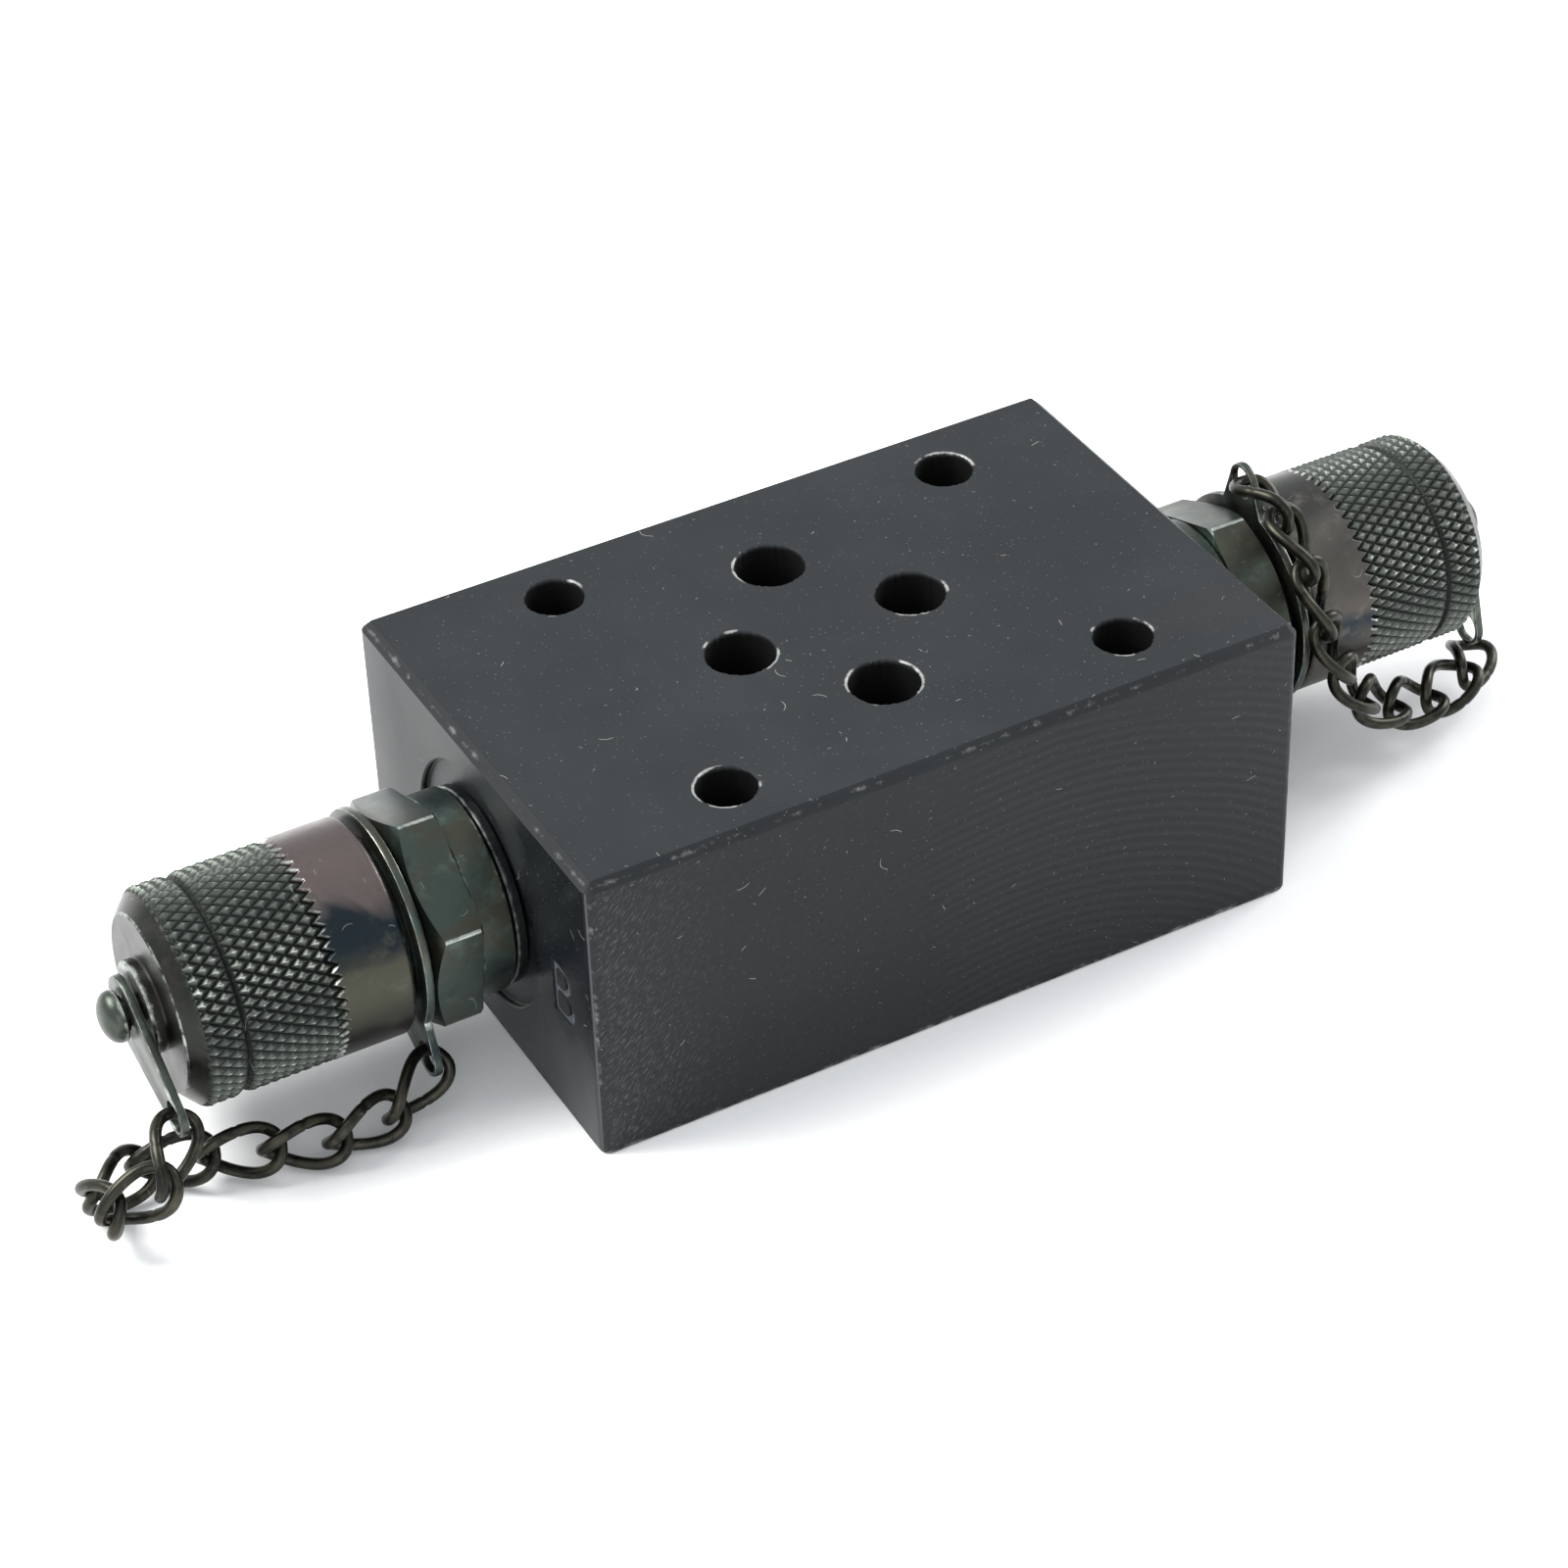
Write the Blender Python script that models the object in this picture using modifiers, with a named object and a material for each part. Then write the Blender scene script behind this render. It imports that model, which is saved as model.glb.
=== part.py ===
"""Sandwich plate of size 03 for stacked hydraulic valves, with a test coupling in each end.

The origin is the centre of the block's lower face.  X runs along the block through both
couplings, Y across it, and Z up through the ports that join the valves below and above.
"""

from math import acos, asin, atan2, cos, pi, radians, sin

import bmesh
import bpy
from mathutils import Matrix, Vector

MM = 0.001

# The block
BLOCK_LENGTH, BLOCK_WIDTH, BLOCK_HEIGHT = 71.5 * MM, 45 * MM, 30 * MM
TOP_CHAMFER = 1.0 * MM
CORNER_CHAMFER = 0.8 * MM
PORT_R = 3.25 * MM
PORTS = {"p": (0, -10.4 * MM), "t": (0, 10.4 * MM), "b": (-8.75 * MM, 0), "a": (8.75 * MM, 0)}
SEAL_POCKET_R, SEAL_POCKET_DEPTH = 6.1 * MM, 1.4 * MM
PORT_SEAL_R, PORT_SEAL_SECTION, PORT_SEAL_HEIGHT = 4.95 * MM, 0.62 * MM, 0.7 * MM
BOLT_R = 2.75 * MM
BOLT_ROWS = ((-19.0 * MM, 16.25 * MM), (21.5 * MM, 15.5 * MM))
CROSS_DRILL_R = 3.0 * MM
END_PORT_R, END_PORT_DEPTH = 6.65 * MM, 13 * MM
SPOT_FACE_R, SPOT_FACE_DEPTH = 11.6 * MM, 0.6 * MM
AXIS_HEIGHT = {"left": 15.0 * MM, "right": 15.9 * MM}

# A test coupling and its cap: distances out from the block's end face
GAP = 0.3 * MM
STUD_R, STUD_DEPTH = 6.3 * MM, 12 * MM
SEAL_TOP = 0.7 * MM
COLLAR_R, COLLAR_START, COLLAR_END = 9.5 * MM, 1.0 * MM, 4.2 * MM
HEX_FLATS, HEX_END = 19 * MM, 8.75 * MM
HEX_TURN = {"left": 39.6, "right": 39.6}
NECK_R, NECK_END = 7.6 * MM, 10.6 * MM
STEM_R, STEM_START = 5.6 * MM, 5.5 * MM
THREAD_R, THREAD_START, THREAD_END = 7.9 * MM, 12 * MM, 25 * MM
CHAMBER_R, SEAT_R, SOCKET_R = 4.2 * MM, 3.0 * MM, 4.6 * MM
SEAT_START, SEAT_END = 13.4 * MM, 15 * MM
SEAL_GROOVE_R, SEAL_GROOVE_MIDDLE, SEAL_GROOVE_HALF = 5.6 * MM, 20.3 * MM, 0.9 * MM
PROBE_SEAL_R, PROBE_SEAL_SECTION = 4.65 * MM, 0.65 * MM
POPPET_R, POPPET_PIN_R, POPPET_STEM_R = 3.8 * MM, 1.4 * MM, 1.5 * MM
POPPET_FOOT, POPPET_TIP = 5 * MM, 16.2 * MM
SPRING_R, SPRING_WIRE_R, SPRING_TURNS = 2.9 * MM, 0.35 * MM, 6
SPRING_START, SPRING_END = -1.3 * MM, 9.9 * MM
SPRING_SEAT_TOP, SPRING_SEAT_HEIGHT = -2.0 * MM, 2.2 * MM
RING_R, RING_HOLE_R, RING_MIDDLE = 10.45 * MM, 8.2 * MM, 9.7 * MM
PLATE_THICKNESS = 0.8 * MM
RING_TAIL_R, RING_TAIL_REACH = 1.9 * MM, 12.7 * MM
CHAIN_HOLE_R = 1.4 * MM
CAP_R, CAP_RIM, CAP_SHOULDER, CAP_END = 10.1 * MM, 10.9 * MM, 29.7 * MM, 31.5 * MM
CAP_END_R, CAP_BOSS_R, CAP_BOSS_END = 8.2 * MM, 4.3 * MM, 32.7 * MM
CAP_BORE_R, CAP_FLOOR = 8.25 * MM, 26.5 * MM
GROOVE_R, GROOVE_MIDDLE, GROOVE_HALF = 9.5 * MM, 26.4 * MM, 0.3 * MM
LUG_MIDDLE, LUG_EYE_R, LUG_TIP_R, LUG_REACH = 33.5 * MM, 3.4 * MM, 1.9 * MM, 10.6 * MM
RIVET_R, RIVET_HOLE_R, RIVET_FOOT = 1.3 * MM, 1.6 * MM, 28.6 * MM
RIVET_HEAD_R, RIVET_HEAD_START, RIVET_HEAD_HEIGHT = 2.4 * MM, 34.2 * MM, 1.9 * MM

# The chains: twisted oval links of round wire
WIRE_R = 0.55 * MM
LINK_WIDTH = 4.4 * MM
LINK_PLAY = 0.6 * MM
LINKS = 9
LINK_POINTS = 16
LINK_TWIST = -90
OVERLAP = 2 * WIRE_R + LINK_PLAY
RING_TURN = {"left": 227, "right": 86}
LUG_TURN = {"left": 205, "right": 246}
ROUTES = {
    "left": (
        (-44.2, -11.4, 3.3), (-51.8, -11.2, 3.1), (-56.8, -11.5, 2.9), (-61.9, -9.8, 3.3),
        (-68.3, -7.2, 3.4), (-73.6, -4.7, 2.2), (-78.4, -9.2, 3.4), (-77.9, -12.2, 4.5),
        (-73.5, -14.5, 7.3), (-69.7, -13.3, 9.2),
    ),
    "right": (
        (45.4, -4.2, 29.0), (45.3, -9.4, 26.4), (45.3, -13.1, 20.4), (46.5, -13.5, 16.6),
        (49.7, -13.3, 10.7), (54.5, -12.0, 7.0), (62.1, -10.4, 4.5), (65.7, -8.9, 5.0),
        (69.3, -5.5, 3.4),
    ),
}

DARK = (0.05, 0.055, 0.06)


def clear_scene():
    for old in list(bpy.data.objects):
        bpy.data.objects.remove(old, do_unlink=True)


def new_collection(name):
    made = bpy.data.collections.new(name)
    bpy.context.scene.collection.children.link(made)
    return made


def finish(obj, colour, roughness, metallic):
    """Gives the piece its own Principled material, and shades it smooth with sharp edges."""
    made = bpy.data.materials.new(obj.name)
    made.use_nodes = True
    shader = made.node_tree.nodes["Principled BSDF"]
    shader.inputs["Base Color"].default_value = (*colour, 1)
    shader.inputs["Roughness"].default_value = roughness
    shader.inputs["Metallic"].default_value = metallic
    obj.data.materials.append(made)
    if obj.type == "MESH":
        obj.data.shade_smooth()
        obj.data.set_sharp_from_angle(angle=radians(35))


def place(name, data, parent=None, matrix=None):
    obj = bpy.data.objects.new(name, data)
    parts.objects.link(obj)
    obj.parent = parent
    if matrix is not None:
        obj.matrix_world = matrix
    return obj


def hide(obj, collection=None):
    """Makes the object a cutter, which takes no part in the model itself."""
    parts.objects.unlink(obj)
    (collection or cutters).objects.link(obj)
    obj.hide_render = True
    obj.display_type = "WIRE"
    return obj


def boolean(obj, other, operation):
    modifier = obj.modifiers.new(other.name, "BOOLEAN")
    modifier.object = other
    modifier.operation = operation
    modifier.solver = "EXACT"


def cylinder(name, radius, low, high, parent=None, matrix=None, segments=24):
    mesh = bpy.data.meshes.new(name)
    work = bmesh.new()
    bmesh.ops.create_cone(
        work, cap_ends=True, segments=segments, radius1=radius, radius2=radius,
        depth=high - low, matrix=Matrix.Translation((0, 0, (low + high) / 2)),
    )
    work.to_mesh(mesh)
    work.free()
    return place(name, mesh, parent, matrix)


def turned(name, profile, parent, closed=False, steps=32):
    """A lathe-turned piece: the profile is (radius, height) pairs, outer side from top to bottom."""
    mesh = bpy.data.meshes.new(name)
    work = bmesh.new()
    verts = [work.verts.new((radius, 0, height)) for radius, height in profile]
    for first, second in zip(verts, verts[1:]):
        work.edges.new((first, second))
    if closed:
        work.edges.new((verts[-1], verts[0]))
    work.to_mesh(mesh)
    work.free()
    obj = place(name, mesh, parent)
    screw = obj.modifiers.new("turn", "SCREW")
    screw.axis = "Z"
    screw.angle = 2 * pi
    screw.steps = steps
    screw.render_steps = steps
    screw.use_merge_vertices = True
    screw.merge_threshold = 0.000001
    screw.use_smooth_shade = True
    return obj


def seal_ring(name, radius, section, parent=None, location=(0, 0, 0)):
    bpy.ops.mesh.primitive_torus_add(
        major_segments=20, minor_segments=6, major_radius=radius, minor_radius=section
    )
    obj = bpy.context.object
    for holder in list(obj.users_collection):
        holder.objects.unlink(obj)
    parts.objects.link(obj)
    obj.name = name
    obj.parent = parent
    obj.location = location
    finish(obj, (0.012, 0.012, 0.012), 0.55, 0)
    return obj


def arc(centre_x, radius, start, end, steps):
    """Points of an arc about (centre_x, 0), with angles in radians."""
    turns = [start + (end - start) * i / steps for i in range(steps + 1)]
    return [(centre_x + radius * cos(turn), radius * sin(turn)) for turn in turns]


def plate(name, outlines, parent, height, turn):
    """A stamped plate: the first outline is its edge, the others are its holes."""
    curve = bpy.data.curves.new(name, "CURVE")
    curve.dimensions = "2D"
    curve.fill_mode = "BOTH"
    curve.extrude = PLATE_THICKNESS / 2
    for outline in outlines:
        spline = curve.splines.new("POLY")
        spline.points.add(len(outline) - 1)
        for point, (x, y) in zip(spline.points, outline):
            point.co = (x, y, 0, 1)
        spline.use_cyclic_u = True
    obj = place(name, curve, parent)
    obj.location = (0, 0, height)
    obj.rotation_euler = (0, 0, turn)
    return obj


def wire(name, points, radius, cyclic, parent=None, matrix=None, detail=1):
    curve = bpy.data.curves.new(name, "CURVE")
    curve.dimensions = "3D"
    curve.bevel_depth = radius
    curve.bevel_resolution = detail
    curve.use_fill_caps = True
    spline = curve.splines.new("POLY")
    spline.points.add(len(points) - 1)
    for point, place_at in zip(spline.points, points):
        point.co = (*place_at, 1)
    spline.use_cyclic_u = cyclic
    return place(name, curve, parent, matrix)


# The block and the seals under its ports


def chamfered_box():
    work = bmesh.new()
    bmesh.ops.create_cube(
        work, size=1,
        matrix=Matrix.Translation((0, 0, BLOCK_HEIGHT / 2))
        @ Matrix.Diagonal((BLOCK_LENGTH, BLOCK_WIDTH, BLOCK_HEIGHT, 1)),
    )
    upright = [edge for edge in work.edges if abs(edge.verts[0].co.z - edge.verts[1].co.z) > MM]
    bmesh.ops.bevel(
        work, geom=upright, offset=CORNER_CHAMFER, affect="EDGES", segments=2, profile=0.5,
        material=-1,
    )
    rim = [edge for edge in work.edges if min(v.co.z for v in edge.verts) > BLOCK_HEIGHT - MM]
    bmesh.ops.bevel(
        work, geom=rim, offset=TOP_CHAMFER, affect="EDGES", segments=1, profile=0.5, material=-1
    )
    mesh = bpy.data.meshes.new("valve_block")
    work.to_mesh(mesh)
    work.free()
    return mesh


def make_block():
    block = place("valve_block", chamfered_box())
    past = 1 * MM
    for name, (x, y) in PORTS.items():
        at = Matrix.Translation((x, y, 0))
        bore = cylinder("bore_" + name, PORT_R, -past, BLOCK_HEIGHT + past, matrix=at)
        pocket = cylinder("pocket_" + name, SEAL_POCKET_R, -2 * past, SEAL_POCKET_DEPTH, matrix=at)
        hide(bore, block_cutters)
        hide(pocket, block_cutters)
        seal_at = (x, y, PORT_SEAL_HEIGHT)
        seal_ring("port_seal_" + name, PORT_SEAL_R, PORT_SEAL_SECTION, location=seal_at)
    bolts = [(x, out * y) for x, y in BOLT_ROWS for out in (-1, 1)]
    for number, (x, y) in enumerate(bolts, 1):
        at = Matrix.Translation((x, y, 0))
        hole = cylinder(f"bolt_hole_{number}", BOLT_R, -past, BLOCK_HEIGHT + past, matrix=at)
        hide(hole, block_cutters)
    for side, port in (("left", "b"), ("right", "a")):
        depth = BLOCK_LENGTH / 2 - abs(PORTS[port][0])
        seat = axes[side]
        cut = cylinder(side + "_port", END_PORT_R, -END_PORT_DEPTH, 2 * past, seat)
        drill = cylinder(side + "_cross_drill", CROSS_DRILL_R, -depth, past, seat, segments=16)
        spot = cylinder(side + "_spot_face", SPOT_FACE_R, -SPOT_FACE_DEPTH, 3 * past, seat, segments=36)
        for cutter in (drill, cut, spot):
            hide(cutter, block_cutters)
    drilling = block.modifiers.new("drilling", "BOOLEAN")
    drilling.operation = "DIFFERENCE"
    drilling.operand_type = "COLLECTION"
    drilling.collection = block_cutters
    drilling.solver = "MANIFOLD"
    finish(block, DARK, 0.55, 0.8)


# A test coupling with its check valve


def coupling_blank(side, seat):
    core = COLLAR_R - 0.4 * MM
    return turned(
        side + "_coupling_body",
        (
            (0, NECK_END), (NECK_R, NECK_END), (NECK_R, HEX_END),
            (core, HEX_END), (core, COLLAR_END), (COLLAR_R, COLLAR_END),
            (COLLAR_R, COLLAR_START), (STUD_R, COLLAR_START), (STUD_R, 1 * MM - STUD_DEPTH),
            (STUD_R - 1 * MM, -STUD_DEPTH), (0, -STUD_DEPTH),
        ),
        seat,
    )


def hexagon(side, seat):
    """The spanner hexagon, with its corners turned off at 30 degrees towards the cap."""
    corner_r = HEX_FLATS / 2 / cos(pi / 6)
    hexagon_part = cylinder(side + "_hexagon", corner_r, COLLAR_END, HEX_END, seat, segments=6)
    lean = 90 - HEX_TURN[side] if side == "left" else 90 + HEX_TURN[side]
    hexagon_part.rotation_euler = (0, 0, radians(lean - 30))
    chamfer = turned(
        side + "_hexagon_chamfer",
        (
            (0, HEX_END + MM), (HEX_FLATS / 2 - 2 * MM, HEX_END + MM),
            (corner_r + 0.3 * MM, HEX_END - 1.1 * MM), (corner_r + 0.3 * MM, COLLAR_END + 0.5 * MM),
            (corner_r - 0.6 * MM, COLLAR_END - MM), (0, COLLAR_END - MM),
        ),
        seat,
        steps=36,
    )
    boolean(hexagon_part, hide(chamfer), "INTERSECT")
    return hide(hexagon_part)


def coupling_bore(side, seat):
    return hide(
        turned(
            side + "_coupling_bore",
            (
                (0, NECK_END + MM), (STEM_R + GAP, NECK_END + MM), (STEM_R + GAP, STEM_START - GAP),
                (CHAMBER_R, STEM_START - GAP), (CHAMBER_R, -STUD_DEPTH - MM),
                (0, -STUD_DEPTH - MM),
            ),
            seat,
            steps=24,
        )
    )


def make_coupling_head(side, seat):
    """The threaded head, whose stem sits in the body and whose socket takes a test hose's probe."""
    low, high = SEAL_GROOVE_MIDDLE - SEAL_GROOVE_HALF, SEAL_GROOVE_MIDDLE + SEAL_GROOVE_HALF
    seat_foot = SEAT_START - (CHAMBER_R - SEAT_R)
    chamfer = 0.8 * MM
    head = turned(
        side + "_coupling_head",
        (
            (THREAD_R - chamfer, THREAD_END), (THREAD_R, THREAD_END - chamfer),
            (THREAD_R, THREAD_START), (NECK_R, THREAD_START - chamfer / 2),
            (NECK_R, NECK_END + GAP), (STEM_R, NECK_END + GAP), (STEM_R, STEM_START),
            (CHAMBER_R, STEM_START), (CHAMBER_R, seat_foot), (SEAT_R, SEAT_START),
            (SEAT_R, SEAT_END), (SOCKET_R, SEAT_END), (SOCKET_R, low), (SEAL_GROOVE_R, low),
            (SEAL_GROOVE_R, high), (SOCKET_R, high), (SOCKET_R, THREAD_END),
        ),
        seat,
        closed=True,
    )
    finish(head, (0.10, 0.11, 0.10), 0.35, 1)


def make_coupling(side, seat):
    body = coupling_blank(side, seat)
    boolean(body, hexagon(side, seat), "UNION")
    boolean(body, coupling_bore(side, seat), "DIFFERENCE")
    finish(body, (0.10, 0.11, 0.10), 0.35, 1)
    make_coupling_head(side, seat)
    seal = turned(
        side + "_stud_seal",
        (
            (COLLAR_R - 0.2 * MM, SEAL_TOP), (COLLAR_R - 0.2 * MM, GAP - SPOT_FACE_DEPTH),
            (STUD_R + 0.6 * MM, GAP - SPOT_FACE_DEPTH), (STUD_R + 0.6 * MM, SEAL_TOP),
        ),
        seat,
        closed=True,
        steps=28,
    )
    finish(seal, (0.02, 0.02, 0.02), 0.5, 0.2)
    probe_at = (0, 0, SEAL_GROOVE_MIDDLE)
    seal_ring(side + "_probe_seal", PROBE_SEAL_R, PROBE_SEAL_SECTION, seat, probe_at)


def make_check_valve(side, seat):
    head = SEAT_START - (POPPET_R - SEAT_R) - 0.4 * MM
    poppet = turned(
        side + "_poppet",
        (
            (0, POPPET_TIP), (POPPET_PIN_R, POPPET_TIP), (POPPET_PIN_R, SEAT_START),
            (SEAT_R - 0.4 * MM, SEAT_START), (POPPET_R, head), (POPPET_R, head - 1.6 * MM),
            (POPPET_STEM_R, head - 1.6 * MM), (POPPET_STEM_R, POPPET_FOOT), (0, POPPET_FOOT),
        ),
        seat,
        steps=24,
    )
    finish(poppet, (0.45, 0.45, 0.46), 0.3, 1)
    per_turn = 9
    count = SPRING_TURNS * per_turn
    coil = []
    for i in range(count + 1):
        angle = 2 * pi * i / per_turn
        rise = SPRING_START + (SPRING_END - SPRING_START) * i / count
        coil.append((SPRING_R * cos(angle), SPRING_R * sin(angle), rise))
    spring = wire(side + "_poppet_spring", coil, SPRING_WIRE_R, False, seat, detail=0)
    finish(spring, (0.35, 0.35, 0.36), 0.3, 1)
    outer, inner = CHAMBER_R - GAP, SPRING_R - 0.8 * MM
    low = SPRING_SEAT_TOP - SPRING_SEAT_HEIGHT
    ring = ((outer, SPRING_SEAT_TOP), (outer, low), (inner, low), (inner, SPRING_SEAT_TOP))
    spring_seat = turned(side + "_spring_seat", ring, seat, closed=True, steps=24)
    finish(spring_seat, (0.3, 0.3, 0.3), 0.35, 1)


# The cap with its rivet, lug and chain ring


def make_cap(side, seat):
    low, high = GROOVE_MIDDLE - GROOVE_HALF, GROOVE_MIDDLE + GROOVE_HALF
    cap = turned(
        side + "_cap",
        (
            (0, RIVET_FOOT - GAP), (RIVET_HOLE_R, RIVET_FOOT - GAP), (RIVET_HOLE_R, CAP_BOSS_END),
            (CAP_BOSS_R, CAP_BOSS_END), (CAP_BOSS_R, CAP_END), (CAP_END_R, CAP_END),
            (CAP_R, CAP_SHOULDER), (CAP_R, high + GROOVE_HALF), (GROOVE_R, high), (GROOVE_R, low),
            (CAP_R, low - GROOVE_HALF), (CAP_R, CAP_RIM + 0.3 * MM), (CAP_R - 0.3 * MM, CAP_RIM),
            (CAP_BORE_R, CAP_RIM), (CAP_BORE_R, CAP_FLOOR), (0, CAP_FLOOR),
        ),
        seat,
        steps=36,
    )
    finish(cap, (0.09, 0.09, 0.085), 0.3, 1)
    top = RIVET_HEAD_START + RIVET_HEAD_HEIGHT
    rim = RIVET_HEAD_START + 0.4 * MM
    bends = [pi / 2 * i / 4 for i in range(5)]
    dome = [(RIVET_HEAD_R * sin(bend), rim + (top - rim) * cos(bend)) for bend in bends]
    under = [(RIVET_HEAD_R, RIVET_HEAD_START), (RIVET_R, RIVET_HEAD_START), (RIVET_R, RIVET_FOOT)]
    rivet = turned(side + "_cap_rivet", dome + under + [(0, RIVET_FOOT)], seat, steps=16)
    finish(rivet, (0.35, 0.36, 0.34), 0.35, 1)


def local_turn(side, degrees):
    """Turns an angle in the YZ plane, from +Y towards +Z, into one about the coupling's own axis."""
    return radians(90 - degrees if side == "left" else 90 + degrees)


def make_lug(side, seat):
    """A teardrop strap: its eye turns on the rivet, and its tip holds the chain."""
    lean = acos((LUG_EYE_R - LUG_TIP_R) / LUG_REACH)
    edge = arc(0, LUG_EYE_R, lean, 2 * pi - lean, 16) + arc(LUG_REACH, LUG_TIP_R, -lean, lean, 8)
    eye = arc(0, RIVET_HOLE_R, 0, 2 * pi * 15 / 16, 15)
    hole = arc(LUG_REACH, CHAIN_HOLE_R, 0, 2 * pi * 11 / 12, 11)
    lug = plate(
        side + "_cap_lug", (edge, eye, hole), seat, LUG_MIDDLE, local_turn(side, LUG_TURN[side])
    )
    finish(lug, (0.30, 0.31, 0.29), 0.35, 1)


def make_chain_ring(side, seat):
    """A stamped washer loose on the neck, with a tail that holds the chain's other end."""
    root = asin(1.6 * RING_TAIL_R / RING_R)
    edge = arc(0, RING_R, root, 2 * pi - root, 32)
    edge += arc(RING_TAIL_REACH, RING_TAIL_R, -radians(80), radians(80), 8)
    inside = arc(0, RING_HOLE_R, 0, 2 * pi * 31 / 32, 31)
    hole = arc(RING_TAIL_REACH, CHAIN_HOLE_R, 0, 2 * pi * 11 / 12, 11)
    ring = plate(
        side + "_chain_ring", (edge, inside, hole), seat, RING_MIDDLE,
        local_turn(side, RING_TURN[side]),
    )
    finish(ring, (0.08, 0.09, 0.08), 0.35, 1)


# The chain from the ring's tail to the cap's lug


def plate_hole(side, height, reach, turn):
    """The centre of a plate's chain hole, in the object's own frame."""
    out = -1 if side == "left" else 1
    angle = radians(turn)
    return Vector(
        (
            out * (BLOCK_LENGTH / 2 + height),
            reach * cos(angle),
            AXIS_HEIGHT[side] + reach * sin(angle),
        )
    )


def smooth_route(points, steps=12):
    """Points along a Catmull-Rom curve through the given ones."""
    ends = [2 * points[0] - points[1], *points, 2 * points[-1] - points[-2]]
    found = []
    for p0, p1, p2, p3 in zip(ends, ends[1:], ends[2:], ends[3:]):
        for i in range(steps):
            t = i / steps
            found.append(
                0.5 * (2 * p1 + (p2 - p0) * t + (2 * p0 - 5 * p1 + 4 * p2 - p3) * t ** 2
                       + (3 * p1 - p0 - 3 * p2 + p3) * t ** 3)
            )
    return found + [points[-1]]


def walk(route, pitch):
    """Joints between links: steps of one pitch along the route, as many as fit."""
    joints = [route[0]]
    for first, second in zip(route, route[1:]):
        while (second - joints[-1]).length >= pitch:
            low, high = 0.0, 1.0
            for _ in range(30):
                middle = (low + high) / 2
                if (first.lerp(second, middle) - joints[-1]).length < pitch:
                    low = middle
                else:
                    high = middle
            joints.append(first.lerp(second, high))
    return joints


def chain_joints(side):
    """The joints of the chain: the pitch is the longest that lets all the links fit the route.

    The end links' wires run through the middles of the chain holes, half an overlap beyond."""
    start = plate_hole(side, RING_MIDDLE, RING_TAIL_REACH, RING_TURN[side])
    end = plate_hole(side, LUG_MIDDLE, LUG_REACH, LUG_TURN[side])
    route = [Vector(point) * MM for point in ROUTES[side]]
    start += (route[0] - start).normalized() * OVERLAP / 2
    end += (route[-1] - end).normalized() * OVERLAP / 2
    route = smooth_route([start, *route, end])
    low, high = 3 * MM, 9 * MM
    for _ in range(40):
        middle = (low + high) / 2
        if len(walk(route, middle)) > LINKS:
            low = middle
        else:
            high = middle
    return walk(route, low)


def link_outline(length):
    """A flattened oval twisted about its long axis."""
    points = []
    for i in range(LINK_POINTS):
        turn = 2 * pi * i / LINK_POINTS
        along = abs(cos(turn)) ** 0.8 * (1 if cos(turn) > 0 else -1) * length / 2
        across = abs(sin(turn)) ** 0.8 * (1 if sin(turn) > 0 else -1) * LINK_WIDTH / 2
        twist = radians(LINK_TWIST) * along / length
        points.append((along, across * cos(twist), across * sin(twist)))
    return points


def link_spans(joints):
    """The middle and direction of each link: at a joint two links overlap along the bend's middle."""
    steps = [(second - first).normalized() for first, second in zip(joints, joints[1:])]
    bends = [(a + b).normalized() * OVERLAP / 2 for a, b in zip(steps, steps[1:])]
    bends = [steps[0] * OVERLAP / 2, *bends, steps[-1] * OVERLAP / 2]
    spans = []
    for number in range(len(steps)):
        first = joints[number] - bends[number]
        second = joints[number + 1] + bends[number + 1]
        spans.append(((first + second) / 2, (second - first).normalized()))
    return spans


def link_widths(steps):
    """Each link's width, turned as little as possible from link to link.

    The first link's wire passes through the ring's tail along X, and the last one's through the
    lug, so the small turn that is left over is shared between the links."""
    half = radians(LINK_TWIST) / 2
    across = Vector((1, 0, 0)) - steps[0] * steps[0].x
    across = Matrix.Rotation(half, 3, steps[0]) @ across.normalized()
    widths = []
    for step in steps:
        across = (across - step * across.dot(step)).normalized()
        widths.append(across)
    last = Matrix.Rotation(half, 3, steps[-1]) @ widths[-1]
    wanted = (Vector((1, 0, 0)) - steps[-1] * steps[-1].x).normalized()
    left_over = atan2(last.cross(wanted).dot(steps[-1]), last.dot(wanted))
    left_over = (left_over + pi / 2) % pi - pi / 2
    turned_widths = []
    for number, (step, width) in enumerate(zip(steps, widths)):
        share = left_over * number / (len(steps) - 1)
        turned_widths.append(Matrix.Rotation(share, 3, step) @ width)
    return turned_widths


def make_chain(side):
    joints = chain_joints(side)
    spans = link_spans(joints)
    widths = link_widths([step for _, step in spans])
    length = (joints[1] - joints[0]).length + OVERLAP
    outline = link_outline(length)
    for number, (joint, (middle, step), width) in enumerate(zip(joints, spans, widths), 1):
        turn = Matrix((step, width, step.cross(width))).transposed()
        shift = turn.inverted() @ (middle - joint)
        link = wire(
            f"{side}_chain_link_{number}", [Vector(point) + shift for point in outline], WIRE_R,
            True, matrix=Matrix.Translation(joint) @ turn.to_4x4(),
        )
        finish(link, (0.09, 0.085, 0.07), 0.4, 1)


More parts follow.
